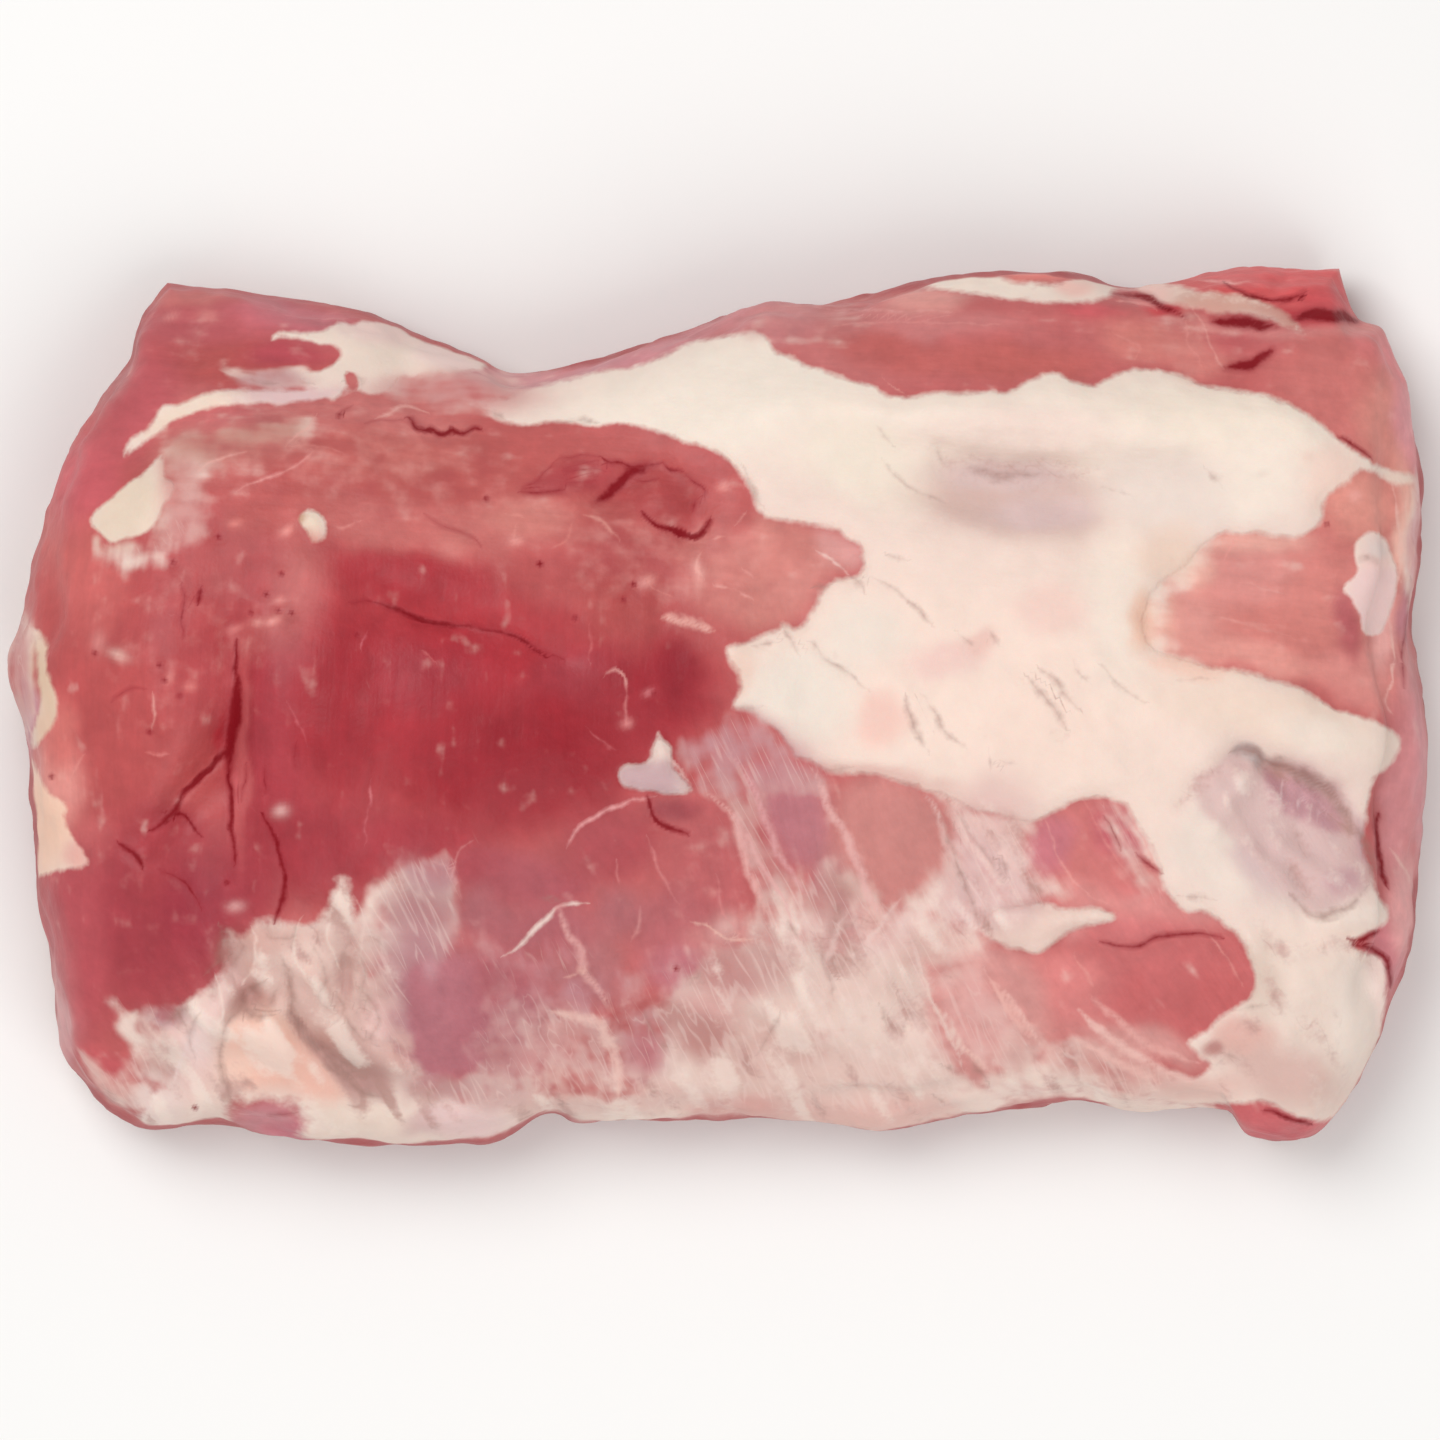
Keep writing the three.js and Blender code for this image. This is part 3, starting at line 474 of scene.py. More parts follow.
# Pale tendons and edges of skin: width, colour, line.
STRANDS = [
    # Between the eye and the front.
    (1.6, "F2E0D4", [(-25.5, -38.8), (-30, -39.5), (-33, -41.5), (-36, -44), (-39, -47.5), (-42.5, -49.4)]),
    (2.6, "DDA49F", [(-31, -40), (-30, -44), (-27.5, -48), (-26, -53), (-23, -57), (-21, -60)]),
    (3.2, "EBC2B7", [(-33.5, -60.5), (-29, -61.5), (-24, -63), (-21.5, -67), (-20, -72), (-19, -79)]),
    (0.9, "E8B5A8", [(-30.5, -53.8), (-27, -52.8)]),
    (0.8, "D98A88", [(-20, -31), (-19, -36)]),
    (0.8, "D98A88", [(-13.5, -26), (-12, -31), (-10, -35), (-8, -39)]),
    (1.1, "D6918D", [(-15, -40), (-15.5, -44), (-17, -46.5)]),
    (1.4, "EDAAA8", [(-29.5, -28), (-27.5, -24.5), (-24, -22), (-20, -20), (-16, -18.7), (-12.6, -17.8)]),
    (0.9, "D6918F", [(-47.5, -26), (-50, -27.5), (-51.5, -30), (-52, -34), (-50.5, -38.5)]),
    (0.8, "D6A09E", [(-56, -30.5), (-53.4, -32), (-52, -36.5)]),
    (1.2, "E8C4BC", [(-10.4, -8), (-8.4, -11.4), (-5, -15.4)]),
    # Over the lumps towards the front slope.
    (2.2, "E6AFA8", [(-1.5, -17.5), (1, -19.5), (4, -23), (5, -28), (6, -32), (8, -36), (9.4, -41)]),
    (0.9, "D98A88", [(0, -34), (1, -40), (3, -43), (6, -46)]),
    (1.2, "EABEAE", [(-5, -42.6), (-1, -44), (2, -46), (6.4, -46)]),
    (2, "DBA0A0", [(3, -9.4), (6, -14), (8, -18), (10, -24), (12, -29), (15, -33), (18.6, -38.6)]),
    (1.6, "DFA8A4", [(4, -21), (7, -28), (10, -33), (14, -40), (15, -45)]),
    (2.6, "E3B0AB", [(19.6, -12.4), (22, -20), (25, -25), (28, -31), (30, -38), (33.4, -43)]),
    (0.9, "E8C6BE", [(37, -39.6), (41, -39.4), (44, -42)]),
    (1.8, "EBC9C0", [(47, -20), (50, -27), (55, -33), (60, -38)]),
    (1.8, "E9C4BC", [(50, -21), (56, -29), (62, -35)]),
    (2.2, "EBCFC6", [(44, -34), (48, -40), (54, -46)]),
    (1.8, "EFC4B9", [(56.5, -55.4), (60, -61), (64.6, -67.6)]),
    (1.6, "E9B4AA", [(53, -52), (57, -59), (62, -66)]),
    (1.8, "EBC0B4", [(45, -60), (49, -68), (56, -74)]),
    (2.4, "DDB5AE", [(41, -17), (45, -25), (46.4, -34), (43, -42)]),
    (1.8, "E3C2BA", [(36, -38), (32, -44), (27, -50)]),
    (1.8, "E0BDB5", [(26, -40), (23, -47), (20, -56)]),
    (1.6, "E6CABF", [(40.4, -53), (44, -61), (48.6, -71)]),
    # Round the windows in the right half.
    (0.7, "E8A49B", [(65, -22.4), (68, -30), (72, -36), (78, -39.4)]),
    (0.7, "DE9089", [(81, -19.6), (84, -26), (88, -33.4)]),
    (0.7, "DE9089", [(73, -19), (77, -27), (83, -35)]),
    (0.8, "E29A90", [(71, -49.6), (73, -53), (75.4, -56.6)]),
    (0.8, "E39C94", [(97, -44), (101, -50), (104, -55)]),
    (2.8, "EBC0B6", [(72, -60), (78, -66), (86, -71), (96, -75)]),
    (2.4, "E8B8AE", [(71, -66), (80, -71), (90, -76)]),
    (2.2, "E2A79F", [(74, -57), (80, -63), (88, -68.4), (96, -71)]),
    # Joint skin and right edge.
    (0.9, "E6C9C9", [(112.4, -14.6), (111.6, -19.4)]),
    (0.9, "E6C9C9", [(116, -16.4), (115.4, -21)]),
    (0.9, "E0BFC0", [(119.8, -18.6), (118.8, -22.8)]),
    (0.8, "D7A6AC", [(112.6, -12.6), (117, -17.6), (124.4, -23.4)]),
    (1.2, "E9C2B6", [(133.6, -28.4), (136, -31), (138, -34), (139, -40), (138, -47), (136, -54.6)]),
    (1.3, "EFC2B6", [(134.6, 44), (135.6, 38), (136, 30), (135, 22)]),
    (1.6, "EBBBB0", [(133, 20), (134.6, 13), (134.6, 6), (133, 1), (134.6, -1.6)]),
    (0.7, "EDC6B6", [(138, 46), (138.4, 40), (137.8, 36), (138.6, 31), (138, 25)]),
    # Back right corner.
    # A painted highlight on the lower layer.
    (1.2, "F0B8B0", [(96, 85), (101, 84.4), (107, 84.6)]),
    (0.8, "E6A9A0", [(94.6, 78.6), (97, 75), (98, 72), (99, 69), (100.4, 66.6)]),
    (0.7, "DE938C", [(93, 77), (93.4, 72), (96, 68)]),
    (0.9, "EAA69D", [(80, 80.6), (84, 80), (87, 79)]),
    (0.7, "E0938C", [(79, 74), (84, 71), (83, 68.6)]),
    # A painted highlight along the strap muscle.
    (0.7, "DFA09A", [(20, 79.2), (30, 78.6), (46, 78.4)]),
    (0.7, "DB928D", [(24, 75.6), (36, 76.4), (56, 75.6)]),
    (0.8, "E2A198", [(33, 65), (35, 63), (37.4, 61.6)]),
    # Upper left.
    (1.1, "E8B4AA", [(-67.6, 57.3), (-64, 58.8), (-61, 59.3), (-57.6, 58)]),
    (0.8, "E5A59C", [(-85.4, 51.6), (-83, 54), (-81, 55.5), (-79.6, 57.2)]),
    (0.9, "EAB0A6", [(-102.6, 46.4), (-99, 48.8), (-96, 49.5), (-92.6, 50)]),
    (0.9, "E8A39D", [(-94.6, 42.6), (-90, 44.8), (-86, 46), (-82, 48), (-79.6, 50.4)]),
    (0.7, "DB8F86", [(-84, 51.4), (-78, 51.2), (-74, 50.2)]),
    (0.8, "E0938C", [(-75.6, 35.8), (-73, 35.4), (-71, 36.4)]),
    (0.7, "E3958C", [(-125.6, -9.6), (-127.5, -13), (-128.6, -17.6)]),
    (1, "EDB0A5", [(-111, 2), (-111, -1), (-111.6, -4.4)]),
    (0.9, "DE8580", [(-112.6, -9.4), (-108.4, -9.6)]),
    (1.2, "D4656B", [(-95, -12), (-94.8, -20)]),
    (0.9, "E0868A", [(-68.4, -15), (-68.2, -19.6)]),
    (0.7, "CF7076", [(-68.8, -19), (-69.6, -27)]),
    (0.7, "C9636A", [(-84.4, 0.4), (-81, -7.6)]),
    (0.9, "D4707A", [(-70.2, 11.6), (-69.4, 14.4)]),
    (0.9, "D97A7A", [(-58.4, 10.8), (-55.6, 8.8)]),
    # Above the eye and in the lobe.
    (1.2, "E09A90", [(-26.4, 37.8), (-23, 37), (-21, 35), (-19.6, 33)]),
    (0.8, "E2958B", [(-40, 35.4), (-40.2, 32.4)]),
    (0.8, "E2958B", [(-42, 38), (-38.8, 37.4)]),
    (0.9, "D9857C", [(-32.6, 31.2), (-30, 32.5), (-29, 35.6)]),
    (3, "EDB4A8", [(-11, 17.4), (-7, 17), (-3, 16), (-0.4, 14.8)]),
    (0.7, "DE8A83", [(-14, 25), (-12.4, 23), (-9, 21.6)]),
    (1.4, "E8A7A0", [(-22.4, 5.8), (-20, 7), (-18.4, 5.8), (-17.8, 3)]),
    (0.7, "D98A88", [(-17.8, 3), (-17.9, -3.6)]),
    (0.7, "D27272", [(-25.4, 15.6), (-25, 8.6)]),
    (0.7, "D07478", [(-25.6, -4.6), (-22, -7.8), (-20, -8.4)]),
    (1, "F0B4A8", [(-3.4, 30), (-4.2, 28), (-3, 25.4)]),
    (0.7, "EBABA2", [(-0.6, 24), (2.6, 23.4)]),
    (0.7, "EBABA2", [(4.6, 22.4), (7.2, 21)]),
    (0.7, "E8A69C", [(5.4, 27), (7, 25.8)]),
    (0.7, "E8A69C", [(-1, 33), (1.4, 34)]),
    (0.7, "E9A79D", [(4, 36), (6, 38)]),
    (1.1, "F0CFC5", [(20, 30.6), (23, 28.8), (25.6, 26.2)]),
    (0.9, "E59A92", [(100.6, 29.6), (102.6, 32.6)]),
    (0.7, "E09E95", [(96, 18.6), (104, 16.4), (114, 13.6)]),
    (0.7, "E0A097", [(104, 24.4), (113, 22)]),
    # Low left.
    (1.2, "F0D8CC", [(-99.2, -53.4), (-98.2, -58), (-98, -62.6)]),
    (1.1, "E8D0CC", [(-103, -62.4), (-106, -69), (-108.4, -76)]),
    (1.6, "EFD9D0", [(-112, -77.4), (-113.6, -81), (-115, -84.6)]),
    (1.2, "EBD3C6", [(-82, -41.6), (-84, -47), (-82, -53), (-78, -58)]),
    (1, "EBD3C6", [(-76, -40), (-77, -46), (-74.4, -52)]),
    (0.9, "E6C9BF", [(-72, -36.6), (-70, -42), (-70.6, -50), (-68, -57)]),
    (0.9, "DDB2AC", [(-68, -56), (-66, -62), (-62, -68), (-60, -76)]),
    (1.3, "EDD2C6", [(-92, -44), (-91, -50), (-94, -55)]),
    (0.9, "E3B5AC", [(-126, -69.6), (-122, -73), (-119.6, -76.4)]),
]

# Dark creases and cuts that hold a little blood, their darkness partly painted shade: width, depth, line.
CREASES = [
    (0.8, 1, [(-94.8, 12.6), (-95, 8), (-95, 4.6)]),
    (2.2, 1.6, [(-94.9, 7), (-94.8, 2), (-95.2, -3), (-96.3, -8), (-96.7, -12)]),
    (1.6, 1.6, [(-96.6, -8.2), (-99, -10.9), (-101.9, -14.1), (-105.8, -18)]),
    (0.9, 1.2, [(-105.4, -17.6), (-107, -20.6), (-109.4, -22.8), (-112.2, -24.6)]),
    (0.8, 1, [(-96.5, -10), (-96.3, -17), (-96, -24), (-95.4, -31)]),
    (0.9, 0.8, [(-101.8, 23.2), (-102.2, 20)]),
    (0.6, 0.6, [(-105.6, 24), (-105.2, 21), (-105.4, 18), (-105.6, 13.6)]),
    (0.6, 0.6, [(-83, -7.6), (-83.6, -11.6)]),
    (0.6, 0.6, [(-89, -12.4), (-89.4, -17)]),
    (0.6, 0.5, [(-93, -12), (-93.6, -18.6)]),
    (0.7, 1.2, [(-89.6, -21.4), (-87.4, -26), (-85.6, -31), (-85.4, -37), (-87.5, -43)]),
    (0.7, 0.9, [(-109.4, -21.4), (-106, -21.6), (-104, -23), (-102.2, -25.6)]),
    (0.6, 0.7, [(-110, -33), (-105, -35), (-102, -40)]),
    (1, 1, [(-118, -27.4), (-115, -29), (-113.4, -31.6)]),
    (0.5, 0.4, [(-119, 1.4), (-117, 3), (-115, 3.8), (-113, 3.4)]),
    (0.9, 1.4, [(-67, 20.4), (-64, 19.3), (-61, 17.8), (-58, 17), (-54, 16.2), (-49.6, 15.5)]),
    (0.5, 0.7, [(-72, 20.2), (-66, 20.3), (-58, 16.9), (-46, 15.2), (-38, 12.8), (-30.6, 9.2)]),
    (0.7, 1.1, [(-42.4, 14.4), (-40, 13.6), (-38, 12.8), (-36, 11), (-33.6, 9.8)]),
    (0.9, 1, [
        (-60.6, 56.8), (-59, 55), (-57.4, 54.3), (-56.6, 55), (-55.4, 54), (-53.6, 53.9), (-52.4, 54.7),
        (-51.4, 54), (-49.6, 54.2), (-48.2, 55.1), (-47, 54.6),
    ]),
    (0.5, 0.3, [(-69.6, 56.2), (-67, 56.9), (-63, 56.7), (-60.4, 56.4)]),
    (0.6, 0.5, [(-74.6, 57.8), (-73, 59.4)]),
    (0.6, 0.9, [(-22.4, 49), (-19, 47.8), (-15, 47.5), (-11.6, 47.9)]),
    (0.7, 0.8, [(-10.4, 48.2), (-8.8, 46.8), (-7, 46.4)]),
    (1.9, 1.3, [(-24, 40.4), (-21.4, 42), (-19.5, 44), (-17, 46), (-13.6, 47.6)]),
    (0.5, 0.5, [(-16.6, 45), (-14.4, 44.6), (-12, 45)]),
    (1.3, 1.2, [
        (-14.4, 37.8), (-12, 35.8), (-10, 34.8), (-7, 34.3), (-4, 33.4), (-2.2, 34.8), (-1.2, 36.8),
    ]),
    (0.5, 0.6, [(-5.4, 45.4), (-3, 43.4), (-2.2, 41)]),
    (0.7, 0.7, [(-4.2, 40.4), (-4.6, 38.6)]),
    (0.5, 0.5, [(-38, 43.4), (-35, 45), (-32.6, 48)]),
    (0.6, 0.7, [(-38.6, 42.4), (-34.4, 42.2), (-30.6, 42.6)]),
    (0.5, 0.4, [(-30.6, 46.4), (-26, 46.8), (-22.6, 46.6)]),
    (0.5, 0.4, [(-31, 49), (-27, 49.6), (-23.6, 49.2)]),
    (0.5, 0.4, [(-29.6, 44.2), (-24.6, 44.4)]),
    (0.5, 0.4, [(-57.4, 37.4), (-53, 35), (-50, 34), (-46.6, 31.6)]),
    (0.9, 1.2, [(-13.4, -18.2), (-12.5, -21.5), (-10.6, -23.6), (-6, -25.4)]),
    (0.7, 0.8, [(76, -47), (83, -47.6), (88, -45.6), (94, -45), (100, -45.6)]),
    (0.6, 0.7, [(83.6, -29.6), (86, -31.4), (88, -33)]),
    (0.5, 0.6, [(77, -22), (80, -28)]),
    (1.8, 0.7, [(79.4, 82.2), (83, 81.8), (86, 81), (89, 79.2), (93, 77.4)]),
    (2, 1.2, [(98.6, 76.8), (103, 76.2), (107, 76), (111.4, 75.4)]),
    (2, 1.2, [(115, 77.4), (120, 78), (124, 77.5), (128, 77)]),
    (1, 0.8, [(101, 84), (105, 82.2), (112, 80.7), (117, 82.4)]),
    (2, 0.9, [(100.6, 67), (104, 67.6), (107, 68.2), (110, 70.4)]),
    (0.6, 0.8, [(123.6, 53.2), (127, 51.2), (129.6, 49.2)]),
    (0.9, 0.5, [(138.4, 25), (138, 20), (137.4, 15), (136.8, 10.6), (136.8, 4)]),
    (1, 1.4, [(131.4, -22), (131.8, -30), (133.6, -36)]),
    (0.7, 1.4, [(125.6, -46.4), (128, -46.2), (131.4, -44.8)]),
    (0.7, 1, [(126, -47.6), (130, -48.4), (133.4, -50.4), (134.4, -56)]),
    (0.8, 1.4, [(109.4, -80.6), (114, -82), (118, -83.2)]),
    (0.5, 0.5, [(-89, -81), (-84, -81.2)]),
]

# Brown and grey shadows along the edges of skin and fat: width, depth, line.
SHADOWS = [
    (0.8, 0.5, [(-30.6, 56.2), (-27.6, 56.6), (-24.4, 56.3)]),
    (0.9, 0.5, [(5.6, 46.6), (7.2, 43.4), (9, 39.6)]),
    (0.8, 0.5, [(-45, 58.4), (-42, 56.9)]),
    (0.9, 0.6, [(19.6, 23.6), (21.4, 24)]),
    (0.9, 0.6, [(27.4, 24.8), (28.4, 23.4)]),
    (0.7, 0.5, [(13, 15.6), (15, 13), (15.8, 10.8)]),
    (0.7, 0.4, [(7.4, 12), (11.4, 12.6)]),
    (1.1, 0.5, [(22.4, -12.6), (25.6, -12.2)]),
    (0.8, 0.4, [(4.6, -0.6), (8.6, -0.4)]),
    (0.7, 0.4, [(36, -15.2), (40, -16)]),
    (0.8, 0.5, [(31, 25.6), (34, 24), (37, 21.5), (40, 19), (42.4, 16.4)]),
    (1, 0.4, [(34, 29.8), (37.4, 29)]),
    (0.7, 0.4, [(32, 55), (34.4, 52)]),
    (0.9, 0.5, [(18.6, 12.4), (22, 9), (26, 6.5), (29.4, 3.6)]),
    (0.9, 0.3, [(43.8, 51.6), (44.4, 48.6), (46.4, 46.8)]),
    (2.1, 0.2, [(49, 47.4), (56, 45.6), (64.6, 46.2)]),
    (0.8, 0.4, [(33, 48), (36, 45), (40, 42.4), (45.4, 40)]),
    (1.1, 0.5, [(37.4, 1.6), (38.6, -3), (41.4, -8.6)]),
    (0.9, 0.5, [(41, 2), (43, -1), (45, -5), (49.4, -8.4)]),
    (1, 0.6, [(61.6, 5.4), (65, 1.2), (67, -1), (69.2, -4.4)]),
    (0.8, 0.6, [(64, 7.2), (67, 5), (69, 2), (71.4, -0.4)]),
    (0.7, 0.4, [(70, 9.4), (73.6, 4.4)]),
    (0.8, 0.4, [(76, 8), (80, 4), (82, 2), (84.4, 0.8)]),
    (1, 0.4, [(53.6, 14.6), (55.6, 12.2)]),
    (1, 0.4, [(47.6, 14.2), (50.6, 11.8)]),
    (0.7, 0.3, [(54, -9.6), (54.2, -14.4)]),
    (0.7, 0.3, [(56.4, -10.8), (59.4, -11.6)]),
    (0.7, 0.3, [(76, 43), (82.4, 42)]),
    (1.1, 0.3, [(97.6, 46.6), (100.2, 43.6)]),
    (0.7, 0.3, [(91.4, 5), (97.6, 5.6)]),
    (1.3, 0.8, [(102.4, -9), (104.4, -8.4), (107, -9.3), (108.4, -11.8)]),
    (1.7, 1, [(109, -11), (113, -12.3), (118, -14.8), (123, -18.5), (126, -24)]),
    (1, 0.7, [(113.6, -37.6), (117, -41), (120, -41.8), (125, -40), (128.4, -36.6)]),
    (0.8, 0.5, [(92.4, -37.6), (97.6, -38.4)]),
    (0.7, 0.5, [(103.6, -60.4), (108.4, -59.6)]),
    (0.8, 0.5, [(101, -69.2), (103, -69.8)]),
    (1.3, 0.6, [(126.6, -23), (129, -28), (130.8, -34)]),
    (0.9, 0.5, [(8, -69), (10, -66), (12.4, -61.6)]),
    (0.7, 0.4, [(32.4, -60), (33.4, -62.4)]),
    (1.3, 0.8, [(-85.2, -53), (-83.8, -57.4), (-84, -61), (-81, -66), (-76.4, -70.4), (-72, -74)]),
    (1.1, 0.7, [(-90, -55), (-93, -57), (-94.4, -60), (-97, -63), (-98.8, -67.4)]),
    (0.9, 0.6, [(-98, -44), (-97.4, -47), (-99, -50.4), (-100.8, -52.4)]),
    (0.8, 0.6, [(-75.4, -57.4), (-74, -60.4), (-75.8, -62.8)]),
    (0.8, 0.6, [(-71, -56.4), (-68.2, -59.4), (-67.4, -63.4), (-69.8, -67)]),
    (0.8, 0.5, [(-89.8, -43.8), (-88.4, -46), (-84.4, -45.8), (-83.2, -43.2)]),
    (0.9, 0.5, [(22.6, -50.4), (24, -52.6), (25.4, -50.6)]),
    (1.1, 0.5, [(14, -42), (15, -44), (16.4, -46)]),
    (1, 0.4, [(20, -46), (21.6, -52), (23.4, -58.6)]),
    (1, 0.5, [(23.6, -38.6), (24.4, -41.6)]),
    (1.3, 0.5, [(56.4, -30.6), (57.6, -33.4)]),
    (1.1, 0.5, [(44.6, -22), (48, -32), (52.4, -44)]),
    (0.8, 0.4, [(46, -19), (52, -28), (58.4, -37)]),
    (0.8, 0.7, [(45.6, -71.8), (47, -72.4)]),
    (0.8, 0.7, [(50.6, -70.6), (53.4, -74.4)]),
    (0.7, 0.6, [(43.6, -78), (45, -79)]),
    (1.3, 0.6, [(-84, -62), (-79, -69), (-74, -74), (-70, -77), (-66, -78)]),
    (1.3, 0.8, [(-94, -59), (-92, -61.4), (-88.6, -61.4)]),
    (1, 0.7, [(-98.4, -66), (-99, -71), (-97, -76.6)]),
    (1.1, 0.5, [(-110, -63.6), (-107, -61), (-104.6, -60)]),
    (0.9, 0.5, [(-73.6, 65), (-71.4, 65.6), (-70.6, 63)]),
    (0.8, 0.4, [(-92, 64.4), (-88, 64.2)]),
    (0.8, 0.4, [(-83.4, 64.4), (-81, 64.2)]),
    (0.7, 0.4, [(-34.6, -38), (-33.2, -38.8)]),
    (0.7, 0.4, [(-32, -38), (-30.6, -38.8)]),
    (0.8, 0.5, [(-1, -69), (1, -69.4)]),
    (1, 0.4, [(-14, -61), (-12.6, -66)]),
    (0.8, 0.3, [(128, 29.8), (129.4, 29)]),
    (1, 0.4, [(-92, -57.4), (-89, -59.6), (-87.4, -56.6)]),
    (1, 0.4, [(-86, -50), (-84.4, -54), (-85.6, -57.6)]),
    (1, 0.4, [(-80, -48), (-77.6, -53), (-78.6, -58), (-76, -61)]),
    (1, 0.4, [(-75, -59), (-72, -64.6), (-68, -67)]),
    (1.2, 0.5, [(-84, -62), (-80, -66), (-75.6, -70), (-71, -71.6)]),
    (0.9, 0.4, [(-71, -48), (-69.6, -54), (-71, -59)]),
    (0.9, 0.4, [(-94, -48), (-96, -52), (-95, -56)]),
    (0.9, 0.4, [(-102, -60), (-104.6, -65), (-104, -70)]),
]

# Small dark pits: place and width.
PITS = [
    ((-107.4, 28.4), 1.6), ((-98.4, 33.4), 1.6), ((-86, 26), 1.4), ((-89, 22), 1.4), ((-92, 18.4), 1.4),
    ((-86.6, 18.8), 1.2), ((-84, 18.4), 1.4), ((-123, 10.4), 1.4), ((-110, 8), 1.2), ((-109, 5), 1.3),
    ((-106, 2), 1.4), ((-112, -5.2), 1.4), ((-71, 14), 1.2), ((-18.4, 21), 1.3), ((-12.4, 2.4), 1.5),
    ((-16.4, 24), 1.6), ((-35, 28), 2.2), ((-28, 17.4), 1.6), ((-45.6, 41), 1.4), ((-104, -80), 1.4),
    ((-8, -52), 1.6), ((116.6, 81.6), 1.6), ((-75, 57.6), 1.4), ((-97, -35), 1.4),
    ((-132, -14), 1.2), ((121, 36), 1),
]

# Small lumps of fat that stand proud: place, reach along and across, turn in degrees, rise, colour.
LUMPS = [
    ((-118, 10), (1.9, 1.1), -20, 0.7, "F0C2B6"), ((-122, 12.6), (1.6, 2.2), 0, 0.3, "DA8C87"),
    ((-88, 16.4), (1.7, 1), 30, 0.6, "EDA098"), ((-91, 16), (1.2, 1), 0, 0.4, "E39A92"),
    ((-95, 15), (1.8, 0.8), 20, 0.3, "DB827E"), ((-86.6, 20.4), (1.4, 0.8), 10, 0.3, "E08E88"),
    ((-85, 34.6), (1.6, 1), 40, 0.4, "E8978F"), ((-95, 36.2), (1.6, 0.8), 5, 0.3, "E3867E"),
    ((-108, 5.6), (1.4, 1), 60, 0.3, "DD8882"), ((-103.6, 4), (1.4, 0.9), 0, 0.2, "D8807B"),
    # The lump at (-52, 31.4) is a painted highlight on the lean.
    ((-86, -21), (1.5, 1.4), 0, 0.6, "DDB0AA"), ((-52, 31.4), (3.4, 2.4), -30, 0.3, "D98079"),
    ((-39.6, 33), (1.4, 1), 0, 0.3, "E59A92"), ((-13.4, 25), (1.4, 1.2), 0, 0.4, "E69C93"),
    ((-18, -3.4), (1.2, 0.8), 0, 0.3, "E08C8A"), ((-14, 2.4), (1, 0.8), 0, 0.3, "D98286"),
    ((-3.4, 27), (1.2, 2.2), 10, 0.4, "F2B2A8"), ((1.6, 43.6), (1.4, 1.1), 0, 0.3, "E39A93"),
    ((-102, 78), (2.2, 1.4), 0, 0.2, "D4837F"), ((-109, 78), (1.8, 0.9), 10, 0.2, "D88A86"),
    ((126.6, 41.6), (1.2, 1), 0, 0.3, "EDA9A0"), ((108, 46), (1.4, 0.8), 0, 0, "E3D2C4"),
    ((117, 49), (1.6, 1.2), 0, 0.2, "ECCDBE"), ((128.6, 4.6), (1.6, 0.9), -10, 0.2, "E39A92"),
    ((-95, -40), (1.6, 1), 20, 0.4, "D9A09C"), ((-56.6, -52), (1.6, 2.4), 10, 0.2, "C79398"),
    ((-92, -65.6), (4, 4), 0, 0.2, "E8B9A8"), ((-95, -71), (4.4, 4), 0, 0.2, "F5CFBE"),
    ((-103.2, -67.4), (3.6, 6), -20, 0.4, "F3DAD5"), ((-81.4, -49.6), (5, 4), 0, 0.4, "F0D2C6"),
    # Where these lumps in the low left fat sink, their darker colours are painted shade.
    ((-91.6, -51.6), (2.8, 2.6), 0, -0.3, "CC9A8F"), ((-96.4, -49.2), (2.6, 3.4), 0, -0.5, "AA7870"),
    ((-93.6, -57.6), (3.8, 2.2), 40, -0.6, "A6746C"), ((-109.6, -71.4), (3.6, 4), 0, -0.4, "B58C84"),
    ((-72, -70.8), (5, 2.8), -40, -0.5, "B08A80"), ((-76.4, -65.4), (3, 2.6), -40, -0.2, "C49488"),
    ((-67.4, -63.4), (3, 4), 0, 0.4, "F2CCC5"), ((-99.6, -60), (2.2, 4.6), -24, 0.5, "F2CFC8"),
    ((2, -43.6), (3, 3), 0, 0, "E3B6AE"), ((-8, -61.6), (3.6, 3.6), 0, 0, "BE857F"),
    ((-2, -67.4), (3, 3), 0, 0, "BC867E"), ((-31.6, -64.6), (5, 4), 0, 0, "D6A19B"),
    ((-38, -70), (3, 2.6), 0, 0, "CA8988"), ((-43.6, -69.4), (3.4, 3), 0, 0, "B2686C"),
    ((-43.6, -53.6), (4, 4), 0, 0, "A85C63"), ((20, -43.6), (3, 3), 0, 0, "E4C4BB"),
    ((25.8, -35.8), (3.6, 3.6), 0, 0, "BB8880"), ((55.6, -61.4), (3, 3), 0, 0, "E2B4AD"),
    ((59.6, -69.4), (3, 3), 0, 0, "CE9F98"),
]

